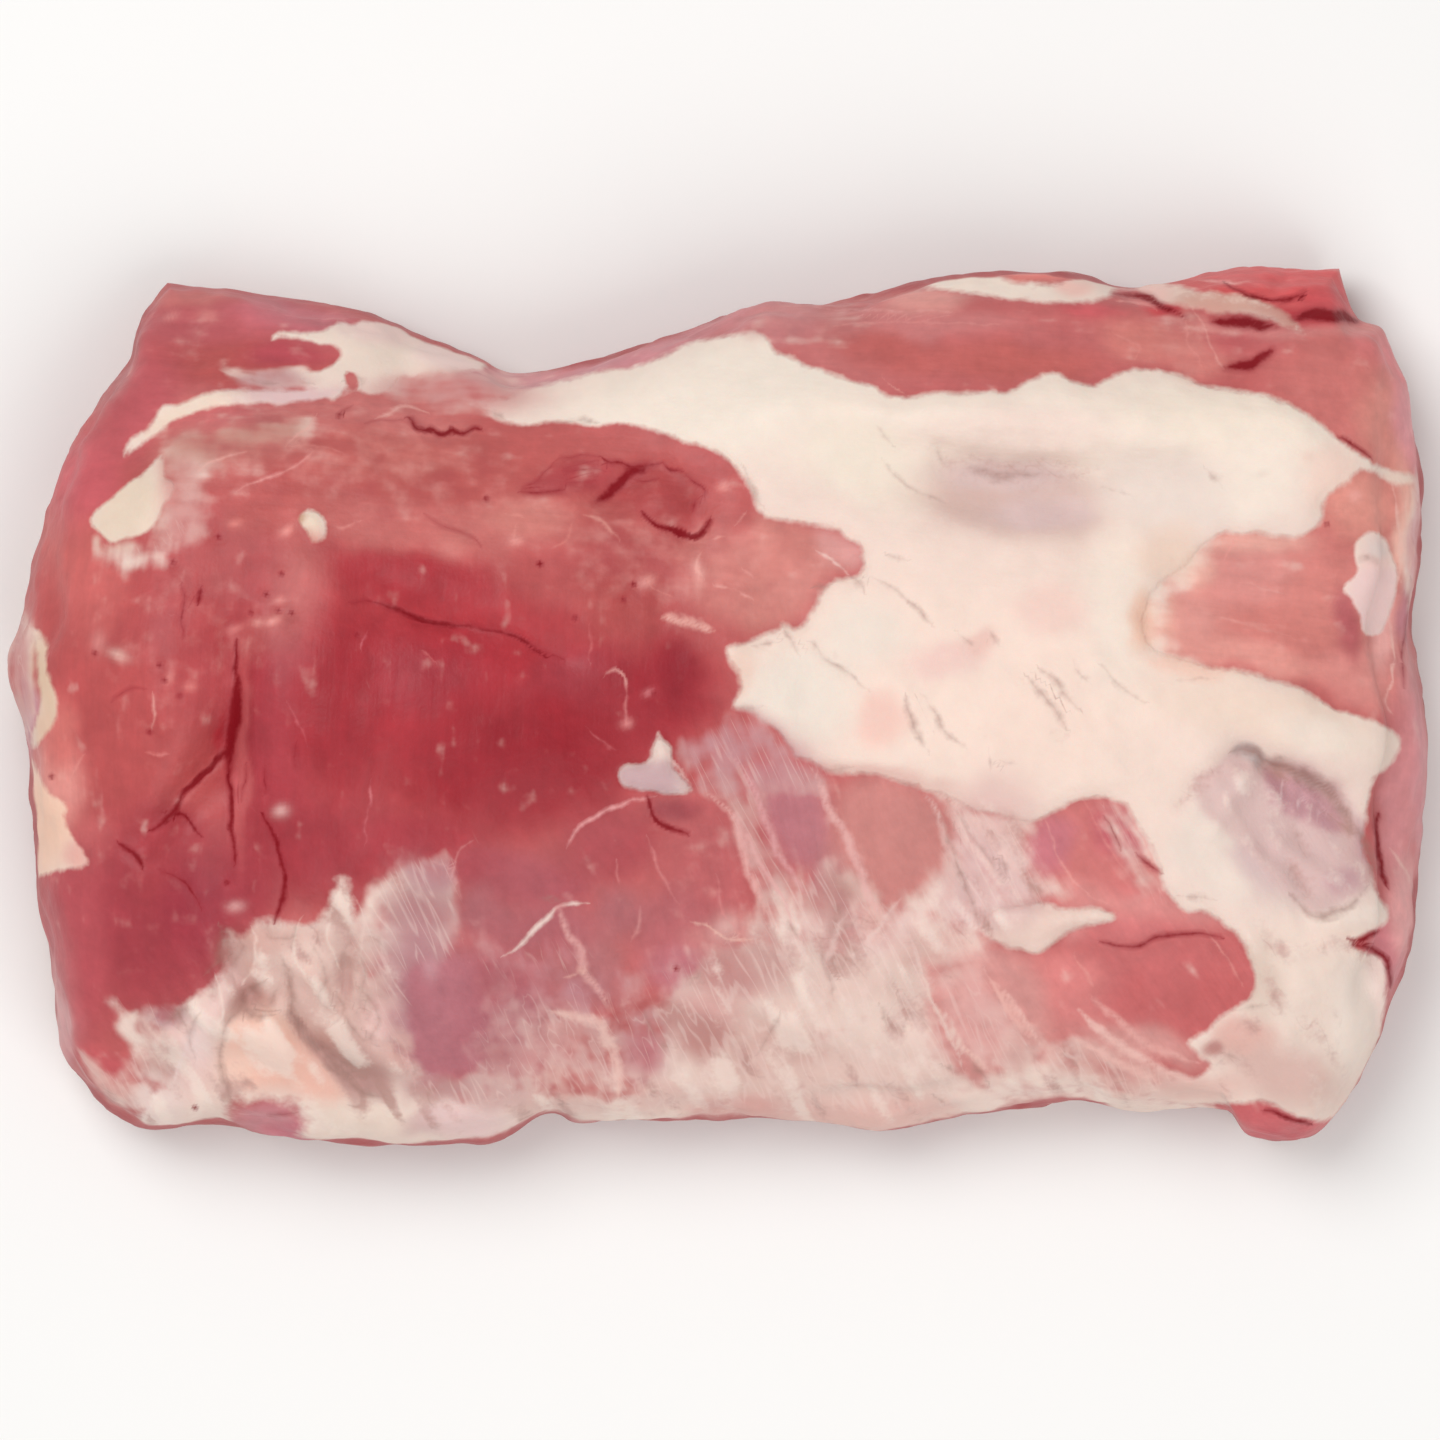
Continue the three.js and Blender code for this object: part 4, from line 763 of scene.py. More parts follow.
# Colours of the lean, each painted softly over those before it: place, reach, turn in degrees, colour.
LEAN_BASE = "BE5F5E"
LEAN_TONES = [
    ((-62, 44), (66, 16), -4, "BB5A57"), ((-118, 4), (24, 44), 0, "BC5353"),
    ((-126, 30), (8, 18), 14, "CB6663"), ((-125, 46), (7, 11), -30, "C95D64"),
    ((-104, 18), (11, 22), 0, "B85052"), ((-96, 28), (10, 12), 0, "B45051"),
    ((-90, 38), (7, 5), 0, "B65250"), ((-52, 1), (46, 27), -8, "AF303A"),
    ((-88, -6), (10, 30), 0, "AA3B44"), ((-78, -28), (18, 11), 0, "A3363F"),
    ((-98, -36), (10, 9), 0, "A23842"), ((-60, 26), (22, 7), -10, "AA3039"),
    ((-60, 6), (14, 7), 0, "A5303B"), ((-26, 5), (12, 6), 0, "AC414A"),
    ((-38, -11), (24, 14), 8, "98222D"), ((-74, 0), (8, 20), 0, "A22A34"),
    ((-97, 5), (5, 9), 0, "BA5054"), ((-94, -9), (22, 1.9), 88, "C65F61"),
    # Darker red beside and along the deep cut: painted shade at its side.
    ((-97.4, -6.8), (2.4, 2.4), 0, "B4333C"), ((-96, -2.6), (1.8, 6.4), -8, "A2222C"),
    ((-12, 3), (14, 12), -10, "9D2933"), ((-8, 6), (4, 7), 0, "93242F"),
    ((-60, 36), (26, 5), -4, "C26864"), ((-40, 34), (14, 6), 0, "C46D68"),
    ((-30, 26), (16, 7), -10, "BB5757"), ((-18, 21), (9, 9), 0, "AF4C4B"),
    ((-37, 38), (9, 4), 0, "CB7A72"), ((-14, 44), (12, 6), 4, "B65453"),
    ((-8, 41), (6, 5), 0, "AE4849"), ((-28, 46), (8, 4), 0, "B44C4C"),
    ((-2, 46), (5, 6), 0, "BC5C5C"), ((-92, 62), (34, 6), 3, "C9706C"),
    ((-100, 57), (10, 3.4), 14, "CB6B6B"), ((-64, 57), (14, 5), 0, "CE7470"),
    ((-66, 50), (16, 5), 0, "C26761"),
    # Left end.
    ((-131, -16), (6, 10), 0, "DC8E86"), ((-125, -28), (5, 6), 0, "D2716F"),
    ((-130, -6), (4, 8), 0, "D5736D"), ((-138, 15), (3.4, 6), 8, "C88E88"),
    ((-138, -3), (2.6, 9), -8, "D096A0"), ((-112, -42), (21, 21), 0, "A53E47"),
    ((-108, -30), (10, 10), 0, "A93F46"), ((-128, -48), (8, 20), 4, "B85158"),
    ((-131, -58), (5, 16), 6, "C2676B"), ((-132, -62), (2.6, 12), 8, "D79C9C"),
    ((-122, -72), (7, 4), -30, "C85C60"), ((-103, -40), (7, 10), 10, "A03743"),
    # Flap.
    ((-98, 74), (26, 13), -6, "BC5C61"), ((-96, 68), (20, 5), 0, "B4514F"),
    ((-86, 70), (9, 2.6), 0, "B54C55"), ((-115, 60), (8, 12), -30, "BF5A60"),
    ((-119, 68), (3, 10), -24, "B4696A"), ((-84, 77), (14, 3), -9, "C16A72"),
    ((-106, 82), (10, 2), -6, "C26E6B"),
    # Along the notch and the back.
    ((-40, 65), (12, 3), 0, "D29092"), ((-16, 70), (20, 2.6), 16, "CE8A90"),
    ((2, 76.6), (14, 2.4), 18, "CB8388"), ((50, 72), (54, 10), 2, "C46A69"),
    ((26, 72), (14, 9), -8, "C67371"), ((12, 76), (10, 5), 10, "CB8080"),
    ((36, 70), (12, 4), -6, "BD615D"), ((60, 68), (18, 4), 0, "C2645F"),
    ((44, 76), (18, 3), 0, "CA7B79"), ((42, 80), (8, 2.4), 8, "DA948C"),
    ((74, 79.4), (6, 1.6), 0, "CE6064"), ((84, 73), (9, 5), -10, "D07C74"),
    ((96, 70), (7, 6), 0, "CE7B74"), ((105, 73), (8, 4), 0, "C56264"),
    ((126, 62), (18, 15), -24, "D07772"), ((134, 54), (6, 12), 20, "DA8B80"),
    ((138, 56), (3, 13), 16, "E3969A"), ((131, 73), (6, 4), -20, "D87A79"),
    ((136, 69), (3, 6), 20, "E07F82"), ((110, 84), (18, 5), 0, "E05556"),
    ((122, 80), (8, 3), 0, "C9404A"), ((100, 85), (8, 2), 6, "D25B5A"),
    ((88, 80.6), (6, 2), -20, "C84A4E"), ((116, 76.6), (8, 1.6), -6, "BE3F46"),
    ((63, 85.4), (7, 1.6), 0, "E27D74"), ((84, 82.4), (5, 1.4), -10, "DD8682"),
    # Salmon muscle and the right end. Right rim tones are partly painted light, lifting the wall's shade.
    ((110, 22), (30, 16), -10, "D38179"), ((92, 17), (9, 8), 0, "DF988F"),
    ((86, 18), (5, 6), 0, "DFA293"), ((104, 26), (9, 6), 0, "D58B84"),
    ((112, 33), (8, 3), 0, "CF7B74"), ((128, 40), (8, 7), 0, "E29588"),
    ((128, 5), (9, 6), -20, "DE8E87"), ((133, 14), (3, 8), 0, "EFADA6"),
    ((106, 10), (16, 3.4), -12, "E0968C"), ((106, 32), (12, 2.6), 0, "DFA195"),
    ((94, 28), (5, 4), 40, "E4AC9E"), ((125, 16), (2.2, 8), 14, "B96063"),
    ((137, 34), (2.4, 14), 2, "F0B8A8"), ((137.6, 18), (1.8, 6), 2, "C07C84"),
    ((138, 6), (2, 7), 0, "D08A88"), ((138, -14), (5, 16), 2, "D58A8C"),
    ((134, -24), (3.4, 14), 0, "D0898B"), ((140.4, -20), (2, 26), 2, "D28C90"),
    ((134, -49), (5, 8), 8, "D18187"), ((137, -40), (3.4, 10), 6, "E2A09E"),
    # The eye's front edge and the lumps before it.
    ((-62, -27), (16, 5), 4, "A93841"), ((-45, -33), (9, 6), 0, "A84850"),
    ((-46, -41), (6, 5), 0, "A95F64"), ((-34, -35), (10, 6), 0, "AC525A"),
    ((-21, -28), (10, 8), 10, "AA474D"), ((-2, -33), (10, 15), 0, "B85B5D"),
    ((-9, -44), (9, 8), 0, "B66064"), ((-8, -21), (5, 3), 0, "A2484E"),
    ((0, -48), (8, 5), 0, "C47A78"), ((-45, -62), (15, 15), 0, "B36A72"),
    ((-46, -60), (8, 9), 0, "B0626B"), ((-26, -52), (8, 9), 0, "B26A6C"),
    ((-36, -44), (12, 5), 0, "AC5C62"), ((-20, -41), (6, 5), 0, "AF6266"),
    ((-8, -53), (7, 5), 0, "C07078"), ((-60, -58), (8, 24), 0, "B0757C"),
    ((15, -21), (7, 10), 14, "BA6B72"), ((24, -34), (5, 11), 10, "B97478"),
    ((35, -25), (14, 12), -20, "C57F79"), ((30, -20), (8, 5), 0, "BF736F"),
    ((39, -44), (4, 6), 0, "D4A5A0"), ((55, -60), (15, 13), 0, "D58F89"),
    ((62, -57), (8, 8), 0, "D27C77"), ((75, -29), (15, 12), -30, "CA7370"),
    ((80, -25), (7, 6), -30, "C4636A"), ((66, -28), (4.4, 6), -20, "C6737B"),
    ((84, -38), (8, 3), 0, "D06C6B"), ((91, -53), (19, 13), 0, "C66767"),
    ((84, -43.6), (14, 3), 6, "D07272"), ((92, -58), (12, 7), 0, "C06060"),
    ((70, -56), (8, 8), -40, "D47B78"), ((84, -67), (14, 4), -14, "D0908A"),
    ((64, -76), (12, 4), 0, "D59A94"), ((30, -80), (30, 3), 0, "DCA29C"),
    ((4, -80), (7, 2), 0, "CC7F76"), ((112, -83), (12, 5), 0, "CC6468"),
    ((112, -86), (8, 2), 0, "C24E56"), ((-89, -83), (8, 4), 0, "C88086"),
    ((-86, -86), (6, 2.6), 0, "C46E7A"), ((-30, -84), (8, 2), 0, "D9A0A0"),
]

# Colours of the fat and the thin skin, painted in the same way.
PALE_BASE = "EBD3C7"
PALE_TONES = [
    ((60, 56), (80, 14), -2, "EFDDCF"), ((0, 62), (38, 12), 16, "EEDFD1"),
    ((50, 4), (52, 24), -8, "F1D8CA"), ((30, 48), (14, 9), -30, "ECDCCC"),
    ((80, 22), (8, 20), 0, "EFDCCE"), ((60, 54), (20, 5), 0, "ECD5C9"),
    # The first three tones from here paint shade in the hollow of the fat, below its upper edge.
    ((60, 41), (21, 9), -4, "D0B1A8"), ((57, 46), (12, 3.4), -2, "D2B7B2"),
    ((64, 38), (11, 4), 0, "D6BBB7"), ((92, 42), (18, 8), -4, "E6D4C9"),
    ((100, 56), (20, 7), -8, "F1E0D0"), ((108, 46), (9, 9), 0, "F0DFD1"),
    ((122, 45), (6, 7), -30, "F1D3C5"), ((136, 45), (5, 2), 0, "EBCFC0"),
    ((33, -3), (6, 5), 0, "EFC7BA"), ((45, 9), (9, 4), 6, "ECC9BF"),
    ((65, 20), (7, 5), 0, "EECDC1"), ((64, -4), (12, 8), 0, "F0D6C8"),
    ((52, 12), (4, 3), 0, "E8C2B6"), ((16, 2), (11, 9), 0, "E9DACD"),
    ((28, 14), (9, 7), 0, "EAD9CC"), ((4, 6), (3, 6), 0, "E6C9BA"),
    ((90, 30), (7, 6), 40, "E7CBBA"), ((84, 17), (3, 6), 0, "EDC3AE"),
    ((94, 8), (9, 2.4), -12, "F2CBBA"), ((108, -1), (24, 6), -12, "EBD2C2"),
    ((132, -9), (4, 5), 0, "E9D3C6"), ((120, -6), (10, 4), -14, "EDDACC"),
    ((30, -14), (18, 2.4), -6, "E2BDB2"), ((56, -20), (8, 3), 0, "E8CEC2"),
    # Joint skin.
    ((112, -26), (17, 13), -38, "D3B7B5"), ((104, -17), (7, 7), -40, "D8BFBA"),
    ((122, -32), (7, 8), -30, "D2B3B3"), ((117, -18), (9, 5), -36, "C29097"),
    ((112, -15.6), (4, 2.2), -30, "B88690"), ((106, -10.4), (4, 1.8), -20, "B9A3A0"),
    # The tone at (127, -30) is painted shade beside the joint.
    ((127, -30), (2.6, 6), 14, "BE8F8B"), ((96, -26), (6, 9), -30, "E8D5C9"),
    ((100, -34), (8, 4), -36, "E9D6CA"),
    # Pad at the front right.
    ((118, -60), (18, 20), 0, "E8D2C5"), ((124, -46), (8, 3.6), 0, "EBD3C6"),
    ((108, -54), (4, 8), 0, "D9C2B4"), ((112, -73), (13, 6), -20, "D8B4AA"),
    # The tone at (131, -56) is painted light that lifts the shade of the pad's slope.
    ((131, -56), (4, 8), 0, "FFE2D8"), ((126, -62), (5, 12), 0, "ECDACE"),
    ((96, -76), (10, 3), 0, "E3BDB2"), ((104, -66), (6, 4), 0, "DCAFA4"),
    # A painted shadow in the small crevice at (98.4, -68).
    ((98.4, -68), (2.6, 1.6), -10, "BC867F"),
    # Front slope.
    ((-34, -56), (30, 18), 0, "C58F8F"), ((24, -62), (30, 20), 0, "DFC2B7"),
    ((30, -63), (20, 5), 0, "EAD0C4"), ((28, -44), (16, 5), 0, "E3C3BB"),
    ((22, -38), (4, 6), 10, "C08C86"), ((3, -52), (8, 6), 0, "C28B86"),
    ((11, -49), (5, 8), 20, "CA9F98"), ((30, -40), (6, 4), -50, "E6BFB5"),
    ((40, -48), (6, 4), 0, "D6B1A7"), ((-1, -62), (7, 7), 0, "D5A59E"),
    ((10, -70), (12, 9), 0, "D3ADA3"), ((28, -75), (22, 5), 0, "E2C2B7"),
    ((52, -26), (10, 14), -30, "DFBBB3"), ((60, -43), (16, 7), 0, "E6C8BC"),
    ((52, -60), (10, 12), 0, "DFA8A2"), ((58, -77), (12, 3), 0, "EFD6CA"),
    ((66, -69), (3, 2), -30, "F0CABF"), ((80, -70), (14, 6), -10, "D29F97"),
    ((-28, -68), (18, 10), 0, "D3A8A2"), ((-14, -67), (5, 8), 0, "C58688"),
    ((-2, -66), (4, 5), 0, "C18C86"), ((-14, -78), (14, 4), 0, "E0BCB2"),
    ((-34, -77), (10, 5), 0, "DDB8AE"), ((-44, -77), (8, 4), 0, "CFA9A3"),
    ((-30, -50), (14, 8), -50, "BF8288"),
    # Membranes.
    ((4, -9), (14, 7), -10, "C0888E"), ((10, -26), (9, 13), 10, "C9948F"),
    ((-12, -15), (8, 3), 0, "CBABAC"), ((-11, -9), (3.4, 4), 0, "E2CAC0"),
    ((-56, -33), (8, 4), 0, "B98A8D"), ((-58, -40), (8, 5), 0, "B28383"),
    ((-66, -52), (5, 5), 0, "D9B4AF"), ((-60, -50), (9, 8), 0, "B58185"),
    ((-60, -62), (8, 9), 0, "B0777D"), ((-62, -69), (4, 5), 0, "D6A9A1"),
    ((-55, -76), (7, 4), 0, "BC8E8B"), ((-58, -83), (6, 2.4), 0, "C39B98"),
    # Low left.
    ((-90, -60), (24, 22), 0, "E2C3B8"), ((-80, -46), (14, 6), 0, "DFC6BC"),
    ((-90, -46), (10, 3), 0, "D3A79C"), ((-72, -72), (7, 4), -30, "B88E8B"),
    ((-92, -59.6), (4, 3), 0, "C48F86"), ((-95, -56), (3, 3), 0, "C99A92"),
    ((-91, -68), (8, 8), 0, "EDC6B5"), ((-88, -65), (5, 4), -10, "F1D0BE"),
    ((-109, -61), (5, 3), 0, "BD9699"), ((-105, -70), (6, 8), 0, "E3BBB2"),
    ((-112, -78), (6, 6), 0, "E9D0C8"), ((-72, -82), (12, 4), 0, "EBD4C6"),
    ((-50, -83), (10, 4), 0, "E6C5C1"), ((-97, -50), (4, 6), 0, "D6B3AC"),
    ((-122, -74), (7, 5), 0, "E0B1A8"),
    # Upper left.
    ((-117, 40), (9, 8), 40, "E3CDB9"), ((-106, 44), (4, 8), 20, "D3A79A"),
    ((-94, 53), (13, 5), 14, "C9998B"), ((-104, 36), (4, 5), 0, "D0958D"),
    ((-104, 58), (12, 3.4), 24, "EDD5C3"), ((-84, 61.6), (12, 2), 0, "E3C0BF"),
    ((-90, 65), (10, 2.2), 0, "C8A09E"), ((-72, 71), (16, 6), -8, "E7D3C5"),
    ((-68, 75), (8, 3), -10, "E8CBC3"), ((-54, 69), (8, 3), -20, "EBCFC8"),
    ((-52, 62), (16, 4), 0, "CC918D"), ((-79.6, 35), (2, 3), 0, "E9D3BF"),
    ((-82.2, 36.6), (1.6, 1.6), 0, "CBA48B"), ((-80, 30), (5, 4), 0, "D39489"),
    ((-88, 18), (9, 9), 0, "D68983"), ((-133, 4), (2.6, 12), 4, "DEBFA6"),
    ((-133, -6), (3, 6), 20, "E2C0A8"), ((-138.6, 8), (3, 14), 0, "CE9490"),
    ((-134, -22), (8, 12), 0, "F4C9B2"), ((-127, -29), (3, 3), 0, "E8B2A6"),
    # Back.
    ((56, 84), (20, 3), 0, "F2DFD1"), ((71, 84), (4, 2), 0, "F2C4B8"),
    ((86, 83.4), (5, 2), 0, "EFC4BA"), ((101, 80), (12, 3), -8, "D6A697"),
    ((113, 77), (6, 3), -30, "CC9286"), ((96, 72), (9, 7), 0, "D48B82"),
    ((16, 77), (12, 4), 0, "C98480"), ((131, 26), (4, 10), 0, "EFCBC3"),
    ((131, 32), (3, 2.6), 0, "E4CEC7"), ((139.6, 32), (2, 14), 0, "DCA8A8"),
]

# Areas with an edge of their own, painted over the tones: name, which colour, edge, how much it covers,
# colour, outline.
TINTED = [
    ("joint skin", "pale", 1.2, 0.8, "D8B6B1", [
        (95, -14.5), (99, -11.5), (102.5, -9), (106, -9.2), (108, -11.5), (113, -12.5), (119, -15.5),
        (124.5, -20), (127, -24), (128.5, -30), (128.5, -35.5), (125.5, -38.5), (120, -41), (116.5, -40.5),
        (112, -36), (106, -30), (101, -25), (96, -20),
    ]),
    ("window in the joint skin", "pale", 1, 0.9, "C28F95", [
        (108.5, -12), (112.5, -13), (118, -16), (123, -20), (124.5, -24.5), (121, -25), (116, -22.5),
        (111.5, -20.5), (109.5, -17),
    ]),
    ("grey corner of the joint skin", "pale", 0.8, 0.7, "AEA19E", [
        (101.5, -9.5), (104, -8), (107.5, -9), (108.5, -12), (105, -11.2),
    ]),
    ("dark foot of the joint skin", "pale", 1.6, 0.6, "BC8C94", [
        (121, -33), (126, -32), (127.5, -35.5), (124, -37.5), (121, -36),
    ]),
    # Painted shade beside the joint.
    ("painted shade beside the joint", "pale", 1.4, 0.6, "C4959A", [
        (126.5, -22), (129, -23), (130, -28), (129, -31), (127, -29),
    ]),
    ("white at the foot of the joint", "pale", 2, 0.7, "F0DED2", [
        (118, -42.6), (126, -43), (133, -41.6), (133.6, -38), (129, -39.6), (122, -42),
    ]),
    ("mauve window", "lean", 2, 0.8, "B66D76", [
        (-61, -52), (-54, -50), (-47, -52), (-45.6, -60), (-46.4, -72), (-54, -73), (-60, -71),
    ]),
    ("redder edge of the mauve window", "lean", 2.4, 0.6, "B85C62", [
        (-47, -50), (-40, -48), (-36, -52), (-40, -57), (-46, -60),
    ]),
    ("pink between the columns", "lean", 1.6, 0.7, "C47F85", [
        (-17, -66), (-11, -65), (-8.6, -70), (-9.6, -75), (-16, -75.6), (-18.6, -71),
    ]),
    ("lobe beside the fat", "lean", 3, 0.75, "D48A80", [
        (8, 38), (14, 36.6), (20, 35), (27, 32), (28, 28.4), (22, 25), (18, 19), (12, 16), (6, 15), (4, 22),
        (6, 30),
    ]),
    ("middle of the lobe", "lean", 4, 0.8, "D1837B", [
        (-6, 32), (4, 34), (10, 28), (8, 18), (0, 18), (-6, 24),
    ]),
    ("torn bundle", "lean", 1.6, 0.8, "AE4748", [
        (-18, 47), (-12, 47.6), (-6, 46.4), (-3, 42.6), (-2.4, 38), (-5, 34.6), (-10, 35.4), (-14.6, 38),
        (-19.6, 41.4),
    ]),
    ("ribs beside the torn bundle", "lean", 1.6, 0.5, "A93F47", [
        (-37, 42), (-33, 47.6), (-26, 49.6), (-20, 48), (-22, 43), (-30, 42),
    ]),
    ("first window beside the lobes", "lean", 2, 0.8, "BB757C", [
        (7, -13), (13, -12), (19, -16), (22, -24), (19, -31), (14, -29), (10, -22),
    ]),
    ("salmon window", "lean", 2.4, 0.85, "C8827C", [
        (26, -17), (34, -15.6), (41, -18), (46, -24), (46.6, -31), (43, -37), (37, -41), (31, -38),
        (27, -30), (24.6, -23),
    ]),
    ("low pink window", "lean", 3, 0.8, "CF908A", [
        (37, -53), (46, -49), (55, -48), (62, -52), (66, -62), (64, -74), (52, -77), (46, -74), (41, -63),
    ]),
    ("red at the front rim", "pale", 1.4, 0.8, "C98D87", [
        (-3, -79), (4, -78), (11, -79), (11, -83), (-3, -83),
    ]),
    ("membrane beside the peak", "pale", 2, 0.75, "C28A8C", MEMBRANE),
    ("lilac streaks", "pale", 3, 0.8, "DDB9B5", [
        (44, -24), (52, -26), (60, -29), (63, -34), (66, -38), (58, -44), (48, -44), (44, -38), (48, -30),
    ]),
    ("tan skin by the white patch", "pale", 3, 0.8, "C58C80", [
        (-110, 53), (-100, 55), (-84, 57), (-82, 51), (-94, 49), (-103, 48), (-108, 50),
    ]),
    ("pink skin by the white patch", "pale", 3, 0.8, "D29A94", [
        (-109, 47), (-103, 47.6), (-100.6, 40), (-101, 32), (-108, 31), (-109.6, 38),
    ]),
    ("peak beside the eye", "pale", 1.2, 0.85, "C6A3A5", [
        (-19, -12.4), (-13.4, -11), (-9, -11), (-8, -14), (-10, -17.2), (-18, -16.4),
    ]),
    # A painted shadow in the curl of the nub.
    ("painted shadow in the curl of the nub", "pale", 0.6, 0.5, "C9A79E", [
        (127, 29.6), (128.6, 30.6), (131, 29.6), (131.6, 27.6), (129.4, 28.8), (127.4, 28.6),
    ]),
    ("lower half of the nub", "pale", 1.6, 0.8, "EAC8C5", [
        (127, 26), (134.6, 27), (135.4, 20), (132, 13), (128, 15), (125, 21.6),
    ]),
    ("haze below the nub", "lean", 5, 0.45, "CA7A74", [
        (-84, 32), (-79, 31), (-78, 26), (-83, 14), (-92, 11), (-93, 14), (-88, 22),
    ]),
    ("haze by the white patch", "lean", 4, 0.6, "C9827A", [
        (-110, 52), (-98, 54), (-83, 57), (-83, 51), (-95, 48), (-102, 44), (-105, 36), (-109, 34),
        (-110, 38),
    ]),
    ("tip of the salmon muscle", "lean", 4, 0.8, "EDB6A6", [
        (82, 20), (86, 26), (89, 25), (88.6, 17), (90, 11), (86, 9), (83, 13),
    ]),
    ("tip of the lobe", "lean", 2, 0.6, "D49C98", [
        (20, 35), (27, 33), (29.4, 29.6), (26, 27), (21, 30),
    ]),
    ("pink band between the windows", "lean", 2.6, 0.75, "D88E89", [
        (68, -34), (80, -37), (92, -36), (103, -43), (96, -43), (84, -42), (76, -42), (70, -46),
    ]),
    ("net in the low left fat", "pale", 5, 0.75, "CEA59B", [
        (-88, -48), (-78, -44), (-70, -46), (-67, -58), (-64, -70), (-72, -76), (-82, -68), (-87, -58),
    ]),
    # Painted shade in a hollow of the low left fat.
    ("painted shade in a hollow of the low left fat", "pale", 3, 0.85, "AE7D77", [
        (-80, -66), (-75, -65), (-69, -69), (-64, -74), (-69, -77), (-77, -72),
    ]),
    # Painted shade beside the knot.
    ("painted shade beside the knot", "pale", 1.6, 0.6, "C1968B", [
        (-99, -57), (-95, -57.6), (-91, -58), (-88.6, -60), (-92, -62), (-96.4, -61.6), (-98, -66),
        (-100, -64),
    ]),
    ("knot", "pale", 3, 0.85, "EDB5A3", [
        (-98, -70), (-95, -65), (-90, -62.6), (-84, -65), (-80, -70), (-74, -77), (-79, -79), (-86, -76),
        (-93, -75),
    ]),
    ("pink of the front rim", "pale", 2.6, 0.7, "DFACA3", [
        (-4, -79), (10, -78), (26, -79), (40, -78), (48, -80), (34, -86), (20, -85), (-4, -84),
    ]),
    # A painted highlight along the edge of the back layer.
    ("edge of the back layer", "lean", 1.2, 0.7, "DB8F8A", [
        (96, 76.4), (108, 74.8), (120, 75.6), (132, 76), (131, 74.6), (120, 74), (108, 73.2), (97, 74.8),
    ]),
    ("bright lower layer at the back corner", "lean", 1, 0.6, "D65F61", [
        (98, 86), (108, 88.4), (127, 90), (132, 79), (120, 78.6), (112, 79.6), (104, 82.4),
    ]),
]

# Where the lean is flecked with pale tissue and painted wet glints: place, reach, turn in degrees, how much.
FLECKED = [
    ((-44, 42), (42, 13), -6, 0.7), ((-14, 27), (16, 11), 0, 0.9),
    ((10, 28), (12, 10), 0, 0.5), ((-106, 14), (20, 24), 0, 0.65),
    ((-60, -2), (40, 24), -6, 0.3), ((-84, 52), (30, 10), 0, 0.7),
    ((-2, -38), (16, 18), 0, 0.6), ((-36, -34), (16, 8), 0, 0.2),
    ((64, 72), (56, 8), 0, 0.25), ((-98, 74), (30, 10), -6, 0.5),
    ((108, 22), (26, 14), -10, 0.2), ((126, 62), (14, 14), 0, 0.4),
    ((-112, -38), (18, 22), 0, 0.5), ((78, -30), (14, 12), 0, 0.25),
    ((92, -54), (20, 10), 0, 0.15), ((62, -58), (12, 10), 0, 0.4),
]

# The lines that are drawn on the surface, and the colours that it stores.
LINES = ("strand", "crease", "shadow")
TONES = ("lean_tone", "pale_tone", "strand_tone")

# The levels that the surface stores, and what each is where there is none of it.
LEAST = {
    "fat": -4, "veil": -0.6, "rumple": 0, "fleck": 0,
    **{name: -3 for name in LINES},
    **{name + "_off": 0 for name in LINES},
}

# Fibres run in four ways: the angle of each, and where it rules.
GRAINS = [
    (-5, [((-60, 46), (90, 15)), ((60, 72), (80, 14)), ((108, 20), (34, 18)), ((-95, 74), (40, 14))]),
    (87, [((-112, 0), (34, 48)), ((-60, -5), (40, 30)), ((138, -10), (8, 60))]),
    (-56, [((92, -34), (44, 34)), ((54, -30), (26, 26)), ((-24, -26), (24, 16)), ((-80, -60), (34, 28))]),
    (-76, [((10, -50), (46, 34)), ((-46, -60), (24, 26)), ((14, -20), (24, 16))]),
]
GRAIN_LEAST = 0.02

# How far patches of colour stray from where they are given. Sharper edges stray less.
BROAD_STRAY = 1.2
CLOSE_STRAY = 0.5
EDGE_SHARE = 0.4
LINE_STRAY = 0.4

# How much the small forms rise or sink, and how far a lump's colour covers.
FAT_EDGE_RISE = 0.9
FAT_MIDDLE_RISE = 0.5
RUMPLE_RISE = 0.8
STRAND_RISE = 0.4
CREASE_FALL = 0.4
SKIN_STREAK_RISE = 0.4
LUMP_COVER = 0.75


def smooth(low, high, x):
    """0 below low, 1 above high, and a smooth step between."""
    t = np.clip((x - low) / (high - low), 0, 1)
    return t * t * (3 - 2 * t)


def wave(x, y, z):
    """A smooth value between about -1 and 1 that changes over 25 to 60 mm, as in the part's source."""
    broad = np.sin(0.113 * x + 0.071 * y + 1.3) * np.sin(0.094 * y - 0.052 * x + 0.12 * z + 0.4)
    close = np.sin(0.23 * x - 0.11 * y + 0.21 * z + 2.1) * np.sin(0.19 * y + 0.07 * x + 5.2)
    return 0.65 * broad + 0.35 * close


def soft_noise(x, y, z, size, seed):
    """A smooth random value between -1 and 1 that changes over the size."""
    lattice = 32
    first_cell = 1000
    table = np.random.default_rng(seed).uniform(-1, 1, (lattice,) * 3)
    place = np.stack(np.broadcast_arrays(x, y, z)) / size + first_cell
    cell = np.floor(place).astype(int)
    t = place - cell
    t = t * t * t * (t * (t * 6 - 15) + 10)
    total = 0
    for corner in itertools.product((0, 1), repeat=3):
        weight = 1
        for axis in range(3):
            weight = weight * (t[axis] if corner[axis] else 1 - t[axis])
        i, j, k = ((cell[axis] + corner[axis]) % lattice for axis in range(3))
        total = total + weight * table[i, j, k]
    return total


